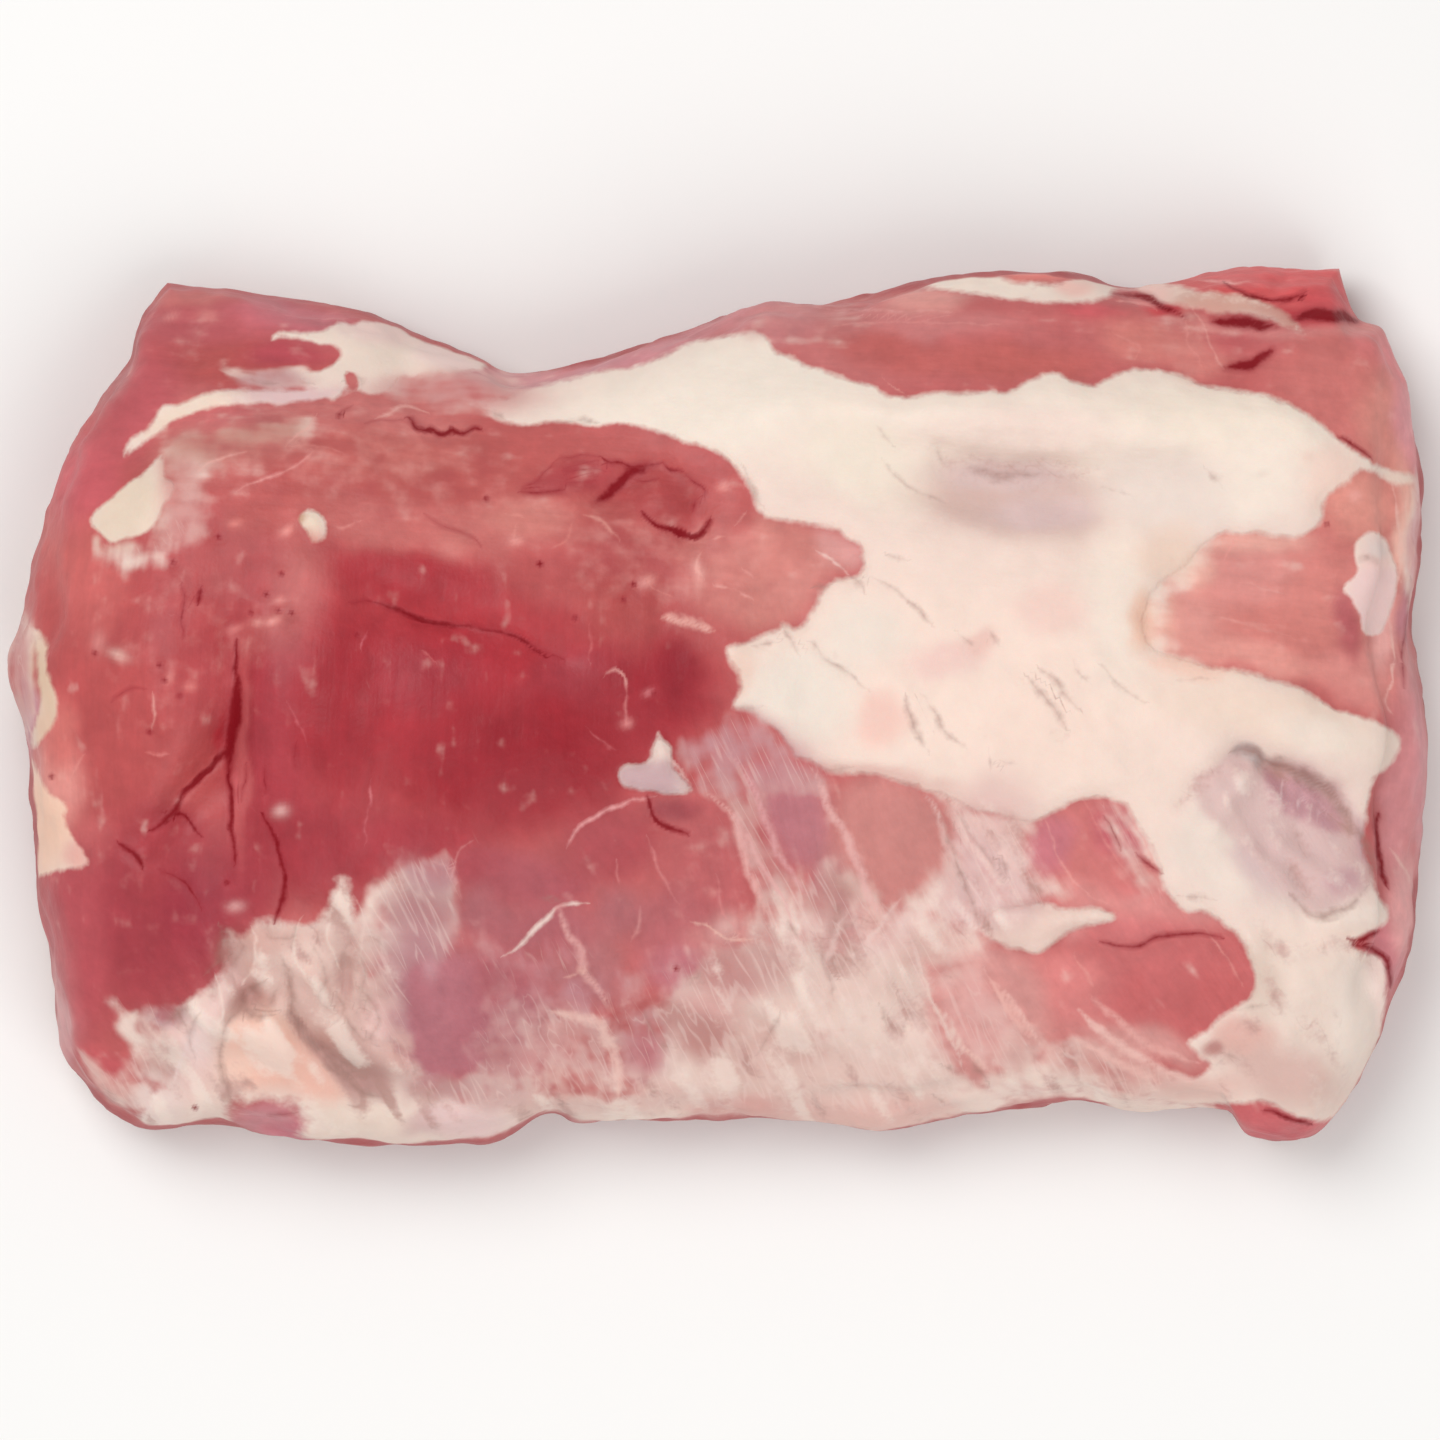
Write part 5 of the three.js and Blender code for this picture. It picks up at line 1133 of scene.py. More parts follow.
def spaced(points, steps, closed=False):
    """Evenly spaced places on the smooth curve through the points."""
    steps_per_span = 40
    p = np.array(points, float)
    p = np.vstack([p[-1], p, p[0], p[1]]) if closed else np.vstack([p[0], p, p[-1]])
    spans = len(p) - 3
    t = np.linspace(0, spans, spans * steps_per_span + 1)
    k = np.minimum(t.astype(int), spans - 1)
    f = (t - k)[:, None]
    before, start, end, after = p[k], p[k + 1], p[k + 2], p[k + 3]
    leave = (end - before) / 2
    arrive = (after - start) / 2
    fine = (2 * start - 2 * end + leave + arrive) * f**3
    fine += (3 * end - 3 * start - 2 * leave - arrive) * f**2
    fine += leave * f + start
    travelled = np.concatenate([[0], np.cumsum(np.linalg.norm(np.diff(fine, axis=0), axis=1))])
    wanted = np.linspace(0, travelled[-1], steps + 1)
    return np.stack([np.interp(wanted, travelled, fine[:, axis]) for axis in range(p.shape[1])], axis=1)


def evenly(points, apart, closed=False):
    """Places about the given distance apart on the smooth curve through the points."""
    fewest = 4
    corners = np.array(points + points[:1] if closed else points, float)
    length = np.linalg.norm(np.diff(corners, axis=0), axis=1).sum()
    return spaced(points, max(fewest, round(length / apart)), closed)


def traced(lines):
    """The lines with places about 1 mm apart on the smooth curve through their points."""
    return [(width, what, evenly(points, 1.0)) for width, what, points in lines]


def to_segment(x, y, start, end):
    """The share of a straight piece of line that is nearest to each place, and how far off that is."""
    (ax, ay), (bx, by) = start, end
    t = ((x - ax) * (bx - ax) + (y - ay) * (by - ay)) / ((bx - ax) ** 2 + (by - ay) ** 2)
    t = np.clip(t, 0, 1)
    return t, np.hypot(x - ax - t * (bx - ax), y - ay - t * (by - ay))


def nearest_on(line, x, y):
    """How far off a line is, the nearest place's share of it, and 1 on its left or -1 on its right."""
    distance = np.full(np.shape(x), np.inf)
    share = np.zeros(np.shape(x))
    side = np.ones(np.shape(x))
    for i, ((ax, ay), (bx, by)) in enumerate(zip(line[:-1], line[1:])):
        t, d = to_segment(x, y, (ax, ay), (bx, by))
        closer = d < distance
        distance = np.where(closer, d, distance)
        share = np.where(closer, (i + t) / (len(line) - 1), share)
        on_left = (bx - ax) * (y - ay) > (by - ay) * (x - ax)
        side = np.where(closer, np.where(on_left, 1, -1), side)
    return distance, share, side


def places_near(points, margin, x, y):
    """Which places lie within the margin of the box round the points."""
    low = np.min(points, axis=0) - margin
    high = np.max(points, axis=0) + margin
    return np.flatnonzero((x > low[0]) & (x < high[0]) & (y > low[1]) & (y < high[1]))


def depth_inside(outline, reach, x, y):
    """How far each place lies inside a closed outline, up to the reach. Outside it is negative."""
    step = 1.2
    margin = 2
    ring = evenly(outline, step, closed=True)
    depth = np.full(len(x), -float(reach))
    near = places_near(ring, reach, x, y)
    px = x[near]
    py = y[near]
    inside = np.zeros(len(near), bool)
    distance = np.full(len(near), float(reach))
    for (ax, ay), (bx, by) in zip(ring[:-1], ring[1:]):
        if ay != by:
            crosses = (ay > py) != (by > py)
            inside ^= crosses & (px < (bx - ax) * (py - ay) / (by - ay) + ax)
        close = np.flatnonzero((np.abs(px - ax) < reach + margin) & (np.abs(py - ay) < reach + margin))
        if len(close):
            _, d = to_segment(px[close], py[close], (ax, ay), (bx, by))
            distance[close] = np.minimum(distance[close], d)
    depth[near] = np.where(inside, distance, -distance)
    return depth


def hill(x, y, at, reach, turn=0):
    """1 in the middle of a turned oval, fading to nothing past its reach."""
    a = math.radians(turn)
    along = ((x - at[0]) * math.cos(a) + (y - at[1]) * math.sin(a)) / reach[0]
    across = ((y - at[1]) * math.cos(a) - (x - at[0]) * math.sin(a)) / reach[1]
    return np.exp(-along * along - across * across)


def patch(x, y, at, reach, turn):
    """As a hill, with a flatter top and a nearer edge."""
    tiny = 1e-30
    return np.exp(-(np.log(hill(x, y, at, reach, turn) + tiny) ** 2))


rim = np.concatenate([spaced(run, RIM_STEPS)[1:] for run in OUTLINE.values()])
strand_lines = traced(STRANDS)
crease_lines = traced(CREASES)
shadow_lines = traced(SHADOWS)
ridge_lines = traced(RIDGES)


def linear(hex_colour):
    """An sRGB colour as linear red, green, blue and alpha."""
    channels = [int(hex_colour[i : i + 2], 16) / 255 for i in (0, 2, 4)]
    return [c / 12.92 if c <= 0.04045 else ((c + 0.055) / 1.055) ** 2.4 for c in channels] + [1]


def painted_over(colour, cover, tone):
    """The colours with a tone laid over them as far as it covers."""
    return colour + cover[:, None] * (np.array(linear(tone)) - colour)


def tapered(line, width, x, y):
    """Which places are near a line, how far off its middle, and its half width, which tapers to its ends."""
    fade = 2.5
    tip = 0.02
    near = places_near(line, width + fade, x, y)
    distance, share, side = nearest_on(line, x[near], y[near])
    return near, side * distance, 0.5 * width * np.sin(math.pi * np.clip(share, tip, 1 - tip)) ** 0.5


def draw(drawn, near, off, half, width):
    """Draws a line where it shows more than those before it.

    Half its width and how far off its middle a place is are stored apart, so that even a line narrower than
    the mesh's cells stays sharp. A wide line needs only one value.
    """
    if width < WIDE:
        half = half - LINE_FADE * smooth(LINE_FADE_FROM, LINE_FADE_TO, np.abs(off))
    else:
        half = half - np.abs(off)
        off = np.zeros(len(near))
    shows = half - np.abs(off) > drawn[0, near] - np.abs(drawn[1, near])
    drawn[0, near[shows]] = half[shows]
    drawn[1, near[shows]] = off[shows]


def levels(patches, least, x, y):
    """The most that any patch reaches at each place, with soft edges, and the least outside them all."""
    most = np.full(len(x), float(least))
    for _, edge, share, outline in patches:
        inside = smooth(-edge, edge, depth_inside(outline, edge, x, y))
        most = np.maximum(most, least + (share - least) * inside)
    return most


def strayed(x, y):
    """The places as patches of colour, as edges and as lines take them, so that none looks drawn."""
    def stray(seed):
        """How far the places stray one way, in broad and in close waves."""
        broad = soft_noise(x, y, 0, size=8, seed=seed)
        return BROAD_STRAY * broad + CLOSE_STRAY * soft_noise(x, y, 0, size=3, seed=seed + 1)

    stray_x = stray(21)
    stray_y = stray(23)
    line_x = x + LINE_STRAY * soft_noise(x, y, 0, size=2.4, seed=25)
    line_y = y + LINE_STRAY * soft_noise(x, y, 0, size=2.4, seed=26)
    for_edges = (x + EDGE_SHARE * stray_x, y + EDGE_SHARE * stray_y)
    return (x + stray_x, y + stray_y), for_edges, (line_x, line_y)


def fat_level(x, y):
    """How far inside the fat each place is, in widths of its edge."""
    most = -LEAST["fat"]
    fat = np.full(len(x), -float(most))
    for _, edge, outline in FAT:
        fat = np.maximum(fat, depth_inside(outline, most * edge, x, y) / edge)
    for _, edge, outline in BARE:
        fat = np.minimum(fat, -depth_inside(outline, most * edge, x, y) / edge)
    return fat


def body_tones(for_colours, for_edges):
    """The colours that the lean and the pale tissue have at each place."""
    tones = {}
    for name, base, patches in (("lean_tone", LEAN_BASE, LEAN_TONES), ("pale_tone", PALE_BASE, PALE_TONES)):
        tones[name] = np.tile(linear(base), (len(for_colours[0]), 1))
        for at, reach, turn, tone in patches:
            tones[name] = painted_over(tones[name], patch(*for_colours, at, reach, turn), tone)
    for _, kind, edge, share, tone, outline in TINTED:
        name = kind + "_tone"
        cover = share * smooth(-edge, edge, depth_inside(outline, edge, *for_edges))
        tones[name] = painted_over(tones[name], cover, tone)
    for at, reach, turn, _, tone in LUMPS:
        cover = LUMP_COVER * hill(*for_edges, at, reach, turn)
        for name in tones:
            tones[name] = painted_over(tones[name], cover, tone)
    return tones


def rumples(x, y, for_edges, relief):
    """How far rumpled fat stands out at each place. Its ridges go into the relief as well."""
    # It is drawn out to the front right, at 59 degrees.
    across = 0.86 * x + 0.51 * y
    along = 0.51 * x - 0.86 * y
    broad = soft_noise(across, along / 2.4, 0, size=4.4, seed=31)
    close = soft_noise(across, along / 3, 0, size=2.4, seed=32)
    rumple = (broad + 0.8 * close) * levels(RUMPLED, 0, *for_edges)
    for width, rise, line in ridge_lines:
        near, off, _ = tapered(line, 2 * width, *for_edges)
        swell = rise * np.exp(-((off / (0.7 * width)) ** 2))
        rumple[near] += 0.6 * swell
        relief[near] += 0.5 * swell
    return rumple


def drawn_lines(x, y, for_lines, relief):
    """Strands, creases, shadows and pits: how far inside each a place is, and the strands' colours.

    Strands stand proud in the relief, and the others are sunk.
    """
    drawn = {name: np.outer((LEAST[name], 0), np.ones(len(x))) for name in LINES}
    strand_tone = np.tile(linear(PALE_BASE), (len(x), 1))
    for width, tone, line in strand_lines:
        near, off, half = tapered(line, width, *for_lines)
        softness = np.minimum(1, 0.9 / half)
        inside = softness * (half - np.abs(off))
        draw(drawn["strand"], near, softness * off, softness * half, width)
        strand_tone[near] = painted_over(strand_tone[near], smooth(-1.4, -0.4, inside), tone)
        relief[near] += STRAND_RISE * half * np.exp(-((off / (0.6 + width)) ** 2))
    for name, lines, softness in (("crease", crease_lines, 1), ("shadow", shadow_lines, 0.6)):
        for width, deep, line in lines:
            near, off, half = tapered(line, width, *for_lines)
            draw(drawn[name], near, softness * off, half - 0.9 * (1 - min(deep, 1)), width)
            fall = CREASE_FALL * deep * (2 * half / width)
            relief[near] -= fall * np.exp(-((off / (0.6 + 0.9 * width)) ** 2))
    for at, width in PITS:
        near = places_near([at], 2 * width, x, y)
        apart = np.hypot(x[near] - at[0], y[near] - at[1])
        draw(drawn["crease"], near, apart, np.full(len(near), 0.25 * width), 0)
        relief[near] -= CREASE_FALL * np.exp(-((apart / width) ** 2))
    return drawn, strand_tone


def paint(x, y):
    """What the surface shows from above at each place: levels, colours and small relief."""
    for_colours, for_edges, for_lines = strayed(x, y)
    fat = fat_level(*for_edges)
    relief = FAT_EDGE_RISE * smooth(-0.5, 1.5, fat) + FAT_MIDDLE_RISE * smooth(1, 4, fat)
    for at, reach, turn, rise, _ in LUMPS:
        relief = relief + rise * hill(x, y, at, reach, turn)
    rumple = rumples(x, y, for_edges, relief)
    relief = relief + RUMPLE_RISE * rumple
    drawn, strand_tone = drawn_lines(x, y, for_lines, relief)
    flecked = sum(share * hill(x, y, at, reach, turn) for at, reach, turn, share in FLECKED)
    return {
        **body_tones(for_colours, for_edges),
        "strand_tone": strand_tone,
        **{name: half for name, (half, _) in drawn.items()},
        **{name + "_off": off for name, (_, off) in drawn.items()},
        "fat": fat,
        "veil": levels(VEIL, LEAST["veil"], *for_edges),
        "rumple": rumple,
        "fleck": np.minimum(flecked, 1),
        "relief": relief,
    }


def top_height(x, y):
    """Height of the top over a place in the outline, as the solid has it."""
    height = BODY_HEIGHT + TOP_WAVE * wave(x, y, 0)
    for _, at, reach, turn, rise in MOUNDS:
        height = height + rise * hill(x, y, at, reach, turn)
    for _, line, depth, half in CLEFTS:
        height = height - depth * np.exp(-((nearest_on(line, x, y)[0] / half) ** 2))
    rim_gap = nearest_on(np.vstack([rim, rim[:1]]), x, y)[0]
    return height * (1 - RIM_DROP * np.exp(-((rim_gap / RIM_WIDTH) ** 2)))


def fine_height(x, y):
    """Height of the top with the relief that is finer than the solid's."""
    shown = paint(x, y)
    height = top_height(x, y) + shown["relief"]
    height = height + 0.45 * soft_noise(x, y, 0, size=11, seed=3)
    height = height + 0.2 * soft_noise(x, y, 0, size=4.5, seed=4)
    # Silvery skin lies in long folds, drawn out to the right and a little to the front.
    streaks = soft_noise(0.5 * x + 0.87 * y, (0.87 * x - 0.5 * y) / 6, 0, size=3.2, seed=5)
    return height + SKIN_STREAK_RISE * np.clip(shown["veil"], 0, 1) * streaks


def fold_at(run, share):
    """How much of the fold there is at a share of a run."""
    most = np.zeros(np.shape(share))
    for name, start, end in FOLDS:
        if name == run:
            opened = smooth(start - FOLD_FADE, start + 3 * FOLD_FADE, share)
            shut = 1 - smooth(end - FOLD_FADE, end + FOLD_FADE, share)
            most = np.maximum(most, opened * shut)
    return most


def stations():
    """Places round the rim, which way is inwards there, and how deep the fold is."""
    places = []
    folds = []
    for run, points in OUTLINE.items():
        cells = CELLS_LONG if run in ("back", "front") else CELLS_WIDE
        places.append(spaced(points, cells)[:-1])
        folds.append(fold_at(run, np.arange(cells) / cells))
    place = np.concatenate(places)
    middle = np.stack([np.clip(place[:, 0], -MIDLINE_HALF, MIDLINE_HALF), np.zeros(len(place))], axis=1)
    inwards = middle - place
    inwards /= np.linalg.norm(inwards, axis=1)[:, None]
    return place, inwards, np.concatenate(folds)


def perimeter(long, wide):
    """Indices of a grid's rim, clockwise from its back left corner."""
    row = long + 1
    back = [wide * row + i for i in range(long)]
    right = [j * row + long for j in range(wide, 0, -1)]
    front = list(range(long, 0, -1))
    left = [j * row for j in range(wide)]
    return np.array(back + right + front + left)


def stretched_grid(ring, long, wide):
    """A grid of places stretched inside a closed ring of places."""
    back = ring[: long + 1]
    right = ring[long : long + wide + 1][::-1]
    front = ring[long + wide : 2 * long + wide + 1][::-1]
    left = np.vstack([ring[2 * long + wide :], ring[:1]])
    s = np.linspace(0, 1, long + 1)[None, :, None]
    r = np.linspace(0, 1, wide + 1)[:, None, None]
    grid = (1 - r) * front[None] + r * back[None] + (1 - s) * left[:, None] + s * right[:, None]
    grid = grid - (1 - s) * (1 - r) * front[0] - s * (1 - r) * front[-1]
    grid = grid - (1 - s) * r * back[0] - s * r * back[-1]
    return grid.reshape(-1, 2)


def faces_of(*corners):
    """Faces from rows of their first corners, second corners and so on."""
    return np.stack(corners, axis=1)


def grid_quads(long, wide, first):
    """The faces of a grid whose places start at the first index."""
    corner = (np.arange(wide)[:, None] * (long + 1) + np.arange(long)[None]).ravel() + first
    return faces_of(corner, corner + 1, corner + long + 2, corner + long + 1)


def wall_rows(crown_height, crown_inset, base_inset, widest_at, place, fold):
    """How far in and how high each row of the wall is, from the crown down to the table."""
    widest = crown_height * widest_at
    rim_slope = 2 * RIM_DROP * crown_height * crown_inset / RIM_WIDTH**2
    rim_slope = rim_slope * np.exp(-((crown_inset / RIM_WIDTH) ** 2))
    rows = []
    for k in range(1, UPPER_ROWS + 1):
        turn = k / UPPER_ROWS * math.pi / 2
        bulge = crown_inset * (1 - math.sin(turn) ** CROWN_FULLNESS)
        z = widest + (crown_height - widest) * math.cos(turn) ** CROWN_FULLNESS
        z = z - rim_slope * (crown_inset - bulge) * math.exp(-((turn / RIM_EASE) ** 2))
        cleft = FOLD_DEPTH * fold * math.exp(-(((turn - FOLD_AT) / FOLD_HALF) ** 2))
        uneven = WALL_WAVE * (1 - math.cos(2 * turn)) * 0.5 * (1 + wave(place[:, 0], place[:, 1], 2 * z))
        rows.append((bulge + cleft + uneven * math.cos(turn), z))
    for k in range(1, LOWER_ROWS + 1):
        turn = k / LOWER_ROWS * TABLE_TURN
        z = widest * (1 - math.sin(turn) / math.sin(TABLE_TURN))
        rows.append((base_inset * (1 - math.cos(turn)) / (1 - math.cos(TABLE_TURN)), z))
    return rows


def wall_places(rows, place, inwards):
    """The wall's rows of places, rough between its top and its foot, and how far down each place is."""
    walls = []
    shares = []
    for number, (inset, z) in enumerate(rows):
        share = (number + 1) / len(rows)
        fade = smooth(0, 0.2, share) * smooth(0, 0.15, 1 - share)
        rough = 0.7 * soft_noise(place[:, 0], place[:, 1], 1.4 * z, size=9, seed=7)
        rough = rough + 0.35 * soft_noise(place[:, 0], place[:, 1], 1.6 * z, size=3.6, seed=8)
        at = place + inwards * (inset + fade * rough)[:, None]
        walls.append(np.column_stack([at, z]))
        shares.append(np.full(len(place), share))
    return walls, shares


def underside_places(base, inwards):
    """A ring with half as many places inside the wall's foot, and the hollow sheet that fills the rest."""
    half_ring = (base + inwards * FOOT_INSETS[0])[:: UNDERSIDE_CELL // 2]
    quarter_ring = (base + inwards * FOOT_INSETS[1])[::UNDERSIDE_CELL]
    flat = stretched_grid(quarter_ring, UNDER_LONG, UNDER_WIDE)
    hollow = HOLLOW_HEIGHT + HOLLOW_HEIGHT * soft_noise(flat[:, 0], 2 * flat[:, 1], 0, size=26, seed=9)
    hollow[perimeter(UNDER_LONG, UNDER_WIDE)] = 0
    return np.column_stack([half_ring, np.zeros(len(half_ring))]), np.column_stack([flat, hollow])


def slab_faces(starts, edge, wall_count):
    """The faces of the top, the wall and the underside, and the triangles between fine and coarse rings."""
    faces = [grid_quads(CELLS_LONG, CELLS_WIDE, 0)]
    above = edge
    for start in starts[1 : 1 + wall_count]:
        below = start + np.arange(len(edge))
        faces.append(faces_of(above, np.roll(above, -1), np.roll(below, -1), below))
        above = below
    half = starts[1 + wall_count] + np.arange(len(edge) // 2)
    quarter = starts[2 + wall_count] + perimeter(UNDER_LONG, UNDER_WIDE)
    triangles = []
    for fine, coarse in ((above, half), (half, quarter)):
        first = fine[::2]
        between = fine[1::2]
        last = np.roll(first, -1)
        following = np.roll(coarse, -1)
        triangles.append(faces_of(first, between, coarse))
        triangles.append(faces_of(between, following, coarse))
        triangles.append(faces_of(between, last, following))
    faces.append(grid_quads(UNDER_LONG, UNDER_WIDE, starts[2 + wall_count])[:, ::-1])
    return np.vstack(faces), np.vstack(triangles)


def easing_amounts(starts):
    """How much each place is eased: the most on the line where the top meets the wall."""
    column, row = np.meshgrid(np.arange(CELLS_LONG + 1), np.arange(CELLS_WIDE + 1))
    cells_in = np.minimum.reduce([column, CELLS_LONG - column, row, CELLS_WIDE - row]).ravel()
    amount = np.zeros(starts[-1])
    amount[: starts[1]] = EASING_MOST * np.exp(-((cells_in / EASING_CELLS) ** 2))
    for number in range(UPPER_ROWS):
        row_amount = EASING_MOST * math.exp(-((number / EASING_CELLS) ** 2))
        amount[starts[1 + number] : starts[2 + number]] = row_amount
    return amount


def eased(vertices, faces, amount):
    """The places drawn towards the middle of their neighbours, by the amount at each place."""
    near = np.vstack([faces[:, [0, 1]], faces[:, [1, 2]], faces[:, [2, 3]], faces[:, [3, 0]]])
    near = np.vstack([near, near[:, ::-1]])
    count = np.bincount(near[:, 0], minlength=len(vertices))
    for _ in range(EASING_ROUNDS):
        for axis in range(3):
            total = np.bincount(near[:, 0], vertices[near[:, 1], axis], len(vertices))
            vertices[:, axis] += amount * (total / np.maximum(count, 1) - vertices[:, axis])
    return vertices


def slab_surface():
    """The slab as one closed surface: its places, its faces, and how far down the wall each place is."""
    place, inwards, fold = stations()
    stray = wave(place[:, 0], place[:, 1], WAVE_APART)
    crown_inset = CROWN_INSET * (1 + CROWN_STRAY * stray)
    base_inset = BASE_INSET * (1 - BASE_STRAY * stray)
    widest_at = WIDEST_AT * (1 + WIDEST_STRAY * wave(place[:, 0], place[:, 1], 2 * WAVE_APART))

    flat = stretched_grid(place + inwards * crown_inset[:, None], CELLS_LONG, CELLS_WIDE)
    edge = perimeter(CELLS_LONG, CELLS_WIDE)
    top = np.column_stack([flat, fine_height(flat[:, 0], flat[:, 1])])
    rows = wall_rows(top[edge, 2], crown_inset, base_inset, widest_at, place, fold)
    walls, shares = wall_places(rows, place, inwards)
    half_ring, under = underside_places(walls[-1][:, :2], inwards)

    parts = [top, *walls, half_ring, under]
    starts = np.cumsum([0] + [len(part) for part in parts])
    faces, triangles = slab_faces(starts, edge, len(walls))
    down = np.concatenate([np.zeros(len(top)), *shares, np.ones(len(half_ring) + len(under))])
    return eased(np.vstack(parts), faces, easing_amounts(starts)), faces, triangles, down


def grain_weights(x, y):
    """How much each way of the fibres rules at each place."""
    weights = []
    for _, places in GRAINS:
        weights.append(GRAIN_LEAST + sum(hill(x, y, at, reach) for at, reach in places))
    weights = np.stack(weights, axis=1) ** 2
    return weights / weights.sum(axis=1)[:, None]


def add_values(mesh, name, kind, values):
    """Stores a value or colour for each vertex."""
    layer = mesh.attributes.new(name, kind, "POINT")
    field = {"FLOAT": "value", "FLOAT_COLOR": "color"}[kind]
    layer.data.foreach_set(field, np.ascontiguousarray(values, np.float32).ravel())


def new_piece(name, places, faces, material):
    """A smooth mesh object from places in metres."""
    mesh = bpy.data.meshes.new(name)
    mesh.from_pydata(places, [], faces)
    mesh.polygons.foreach_set("use_smooth", [True] * len(mesh.polygons))
    mesh.materials.append(material)
    mesh.update()
    piece = bpy.data.objects.new(name, mesh)
    bpy.context.scene.collection.objects.link(piece)
    return piece


def add_node(tree, kind, inputs=None, **settings):
    """Adds a shader node with its settings. An input gets a value, an output, or a node's first output."""
    made = tree.nodes.new("ShaderNode" + kind)
    for name, value in settings.items():
        setattr(made, name, value)
    for key, value in (inputs or {}).items():
        if isinstance(value, bpy.types.Node):
            value = value.outputs[0]
        if isinstance(value, bpy.types.NodeSocket):
            tree.links.new(value, made.inputs[key])
        else:
            made.inputs[key].default_value = value
    return made


def new_material(name):
    """A material with an empty node tree, and the tree."""
    material = bpy.data.materials.new(name)
    material.use_nodes = True
    material.node_tree.nodes.clear()
    return material, material.node_tree


def stored_values(tree):
    """The levels and the colours that the mesh stores, as a material reads them."""
    value = {}
    for name in (*LEAST, "wall", *(f"grain_{number}" for number in range(len(GRAINS)))):
        value[name] = add_node(tree, "Attribute", attribute_name=name).outputs["Fac"]
    for name in LINES:
        off = add_node(tree, "Math", {0: value[name + "_off"]}, operation="ABSOLUTE")
        value[name] = add_node(tree, "Math", {0: value[name], 1: off}, operation="SUBTRACT")
    tone = {}
    for name in TONES:
        tone[name] = add_node(tree, "Attribute", attribute_name=name).outputs["Color"]
    return value, tone


def drawn_out_noise(tree, place, size, angle, detail, distortion):
    """A noise whose forms have the given size in millimetres along their own three directions."""
    turned = add_node(tree, "Mapping", {
        "Vector": place, "Rotation": (0, 0, math.radians(angle)), "Scale": [side * MM for side in size],
    }, vector_type="TEXTURE")
    return add_node(tree, "TexNoise", {
        "Vector": turned, "Scale": 1.0, "Detail": detail, "Distortion": distortion,
    })


def add_fibres(tree, place, value):
    """Fibres and streaks that run the way that rules at each place."""
    # Bundles of fibres are about 0.8 mm wide and 12 mm long, and streaks of skin 3 by 18 mm.
    for name, long, wide, detail, distortion in (
        ("fibre", 12, 0.8, 2.0, 0.3), ("streak", 18, 3.0, 1.6, 0.0),
    ):
        value[name] = 0.0
        for number, (angle, _) in enumerate(GRAINS):
            noise = drawn_out_noise(tree, place, (long, wide, wide), angle, detail, distortion)
            value[name] = add_node(tree, "Math", {
                0: noise, 1: value[f"grain_{number}"], 2: value[name],
            }, operation="MULTIPLY_ADD")


def add_noises(tree, place, value):
    """Noises that run no way: name, size in millimetres, detail."""
    for name, size, detail in (
        ("mottle", 9, 3.0), ("cloud", 5, 1.0), ("blotch", 3.2, 2.4),
        ("ragged", 1.8, 2.0), ("grit", 0.8, 2.0),
    ):
        value[name] = add_node(tree, "TexNoise", {
            "Vector": place, "Scale": 1 / (size * MM), "Detail": detail,
        })


def add_thin_lines(tree, place, value):
    """Thin lines where a noise passes its middle: name, size in millimetres, angle, detail, distortion."""
    # Seams of fat in the sides are 34 mm long and 11 mm apart. The skin's own fibres are 26 mm long and 2 mm
    # apart, and wrinkles in loose fat 9 mm long and 4.5 mm apart, and both run to the front right.
    half = 0.5
    for name, size, angle, detail, distortion in (
        ("seam", (34, 34, 11), 0, 3.0, 0.5),
        ("net", (26, 2, 6), -64, 0.8, 0.4),
        ("shaded_wrinkle", (9, 4.5, 6), -50, 0.6, 0.3),
    ):
        noise = drawn_out_noise(tree, place, size, angle, detail, distortion)
        off_middle = add_node(tree, "Math", {0: noise, 1: half}, operation="SUBTRACT")
        value[name] = add_node(tree, "Math", {0: off_middle}, operation="ABSOLUTE")


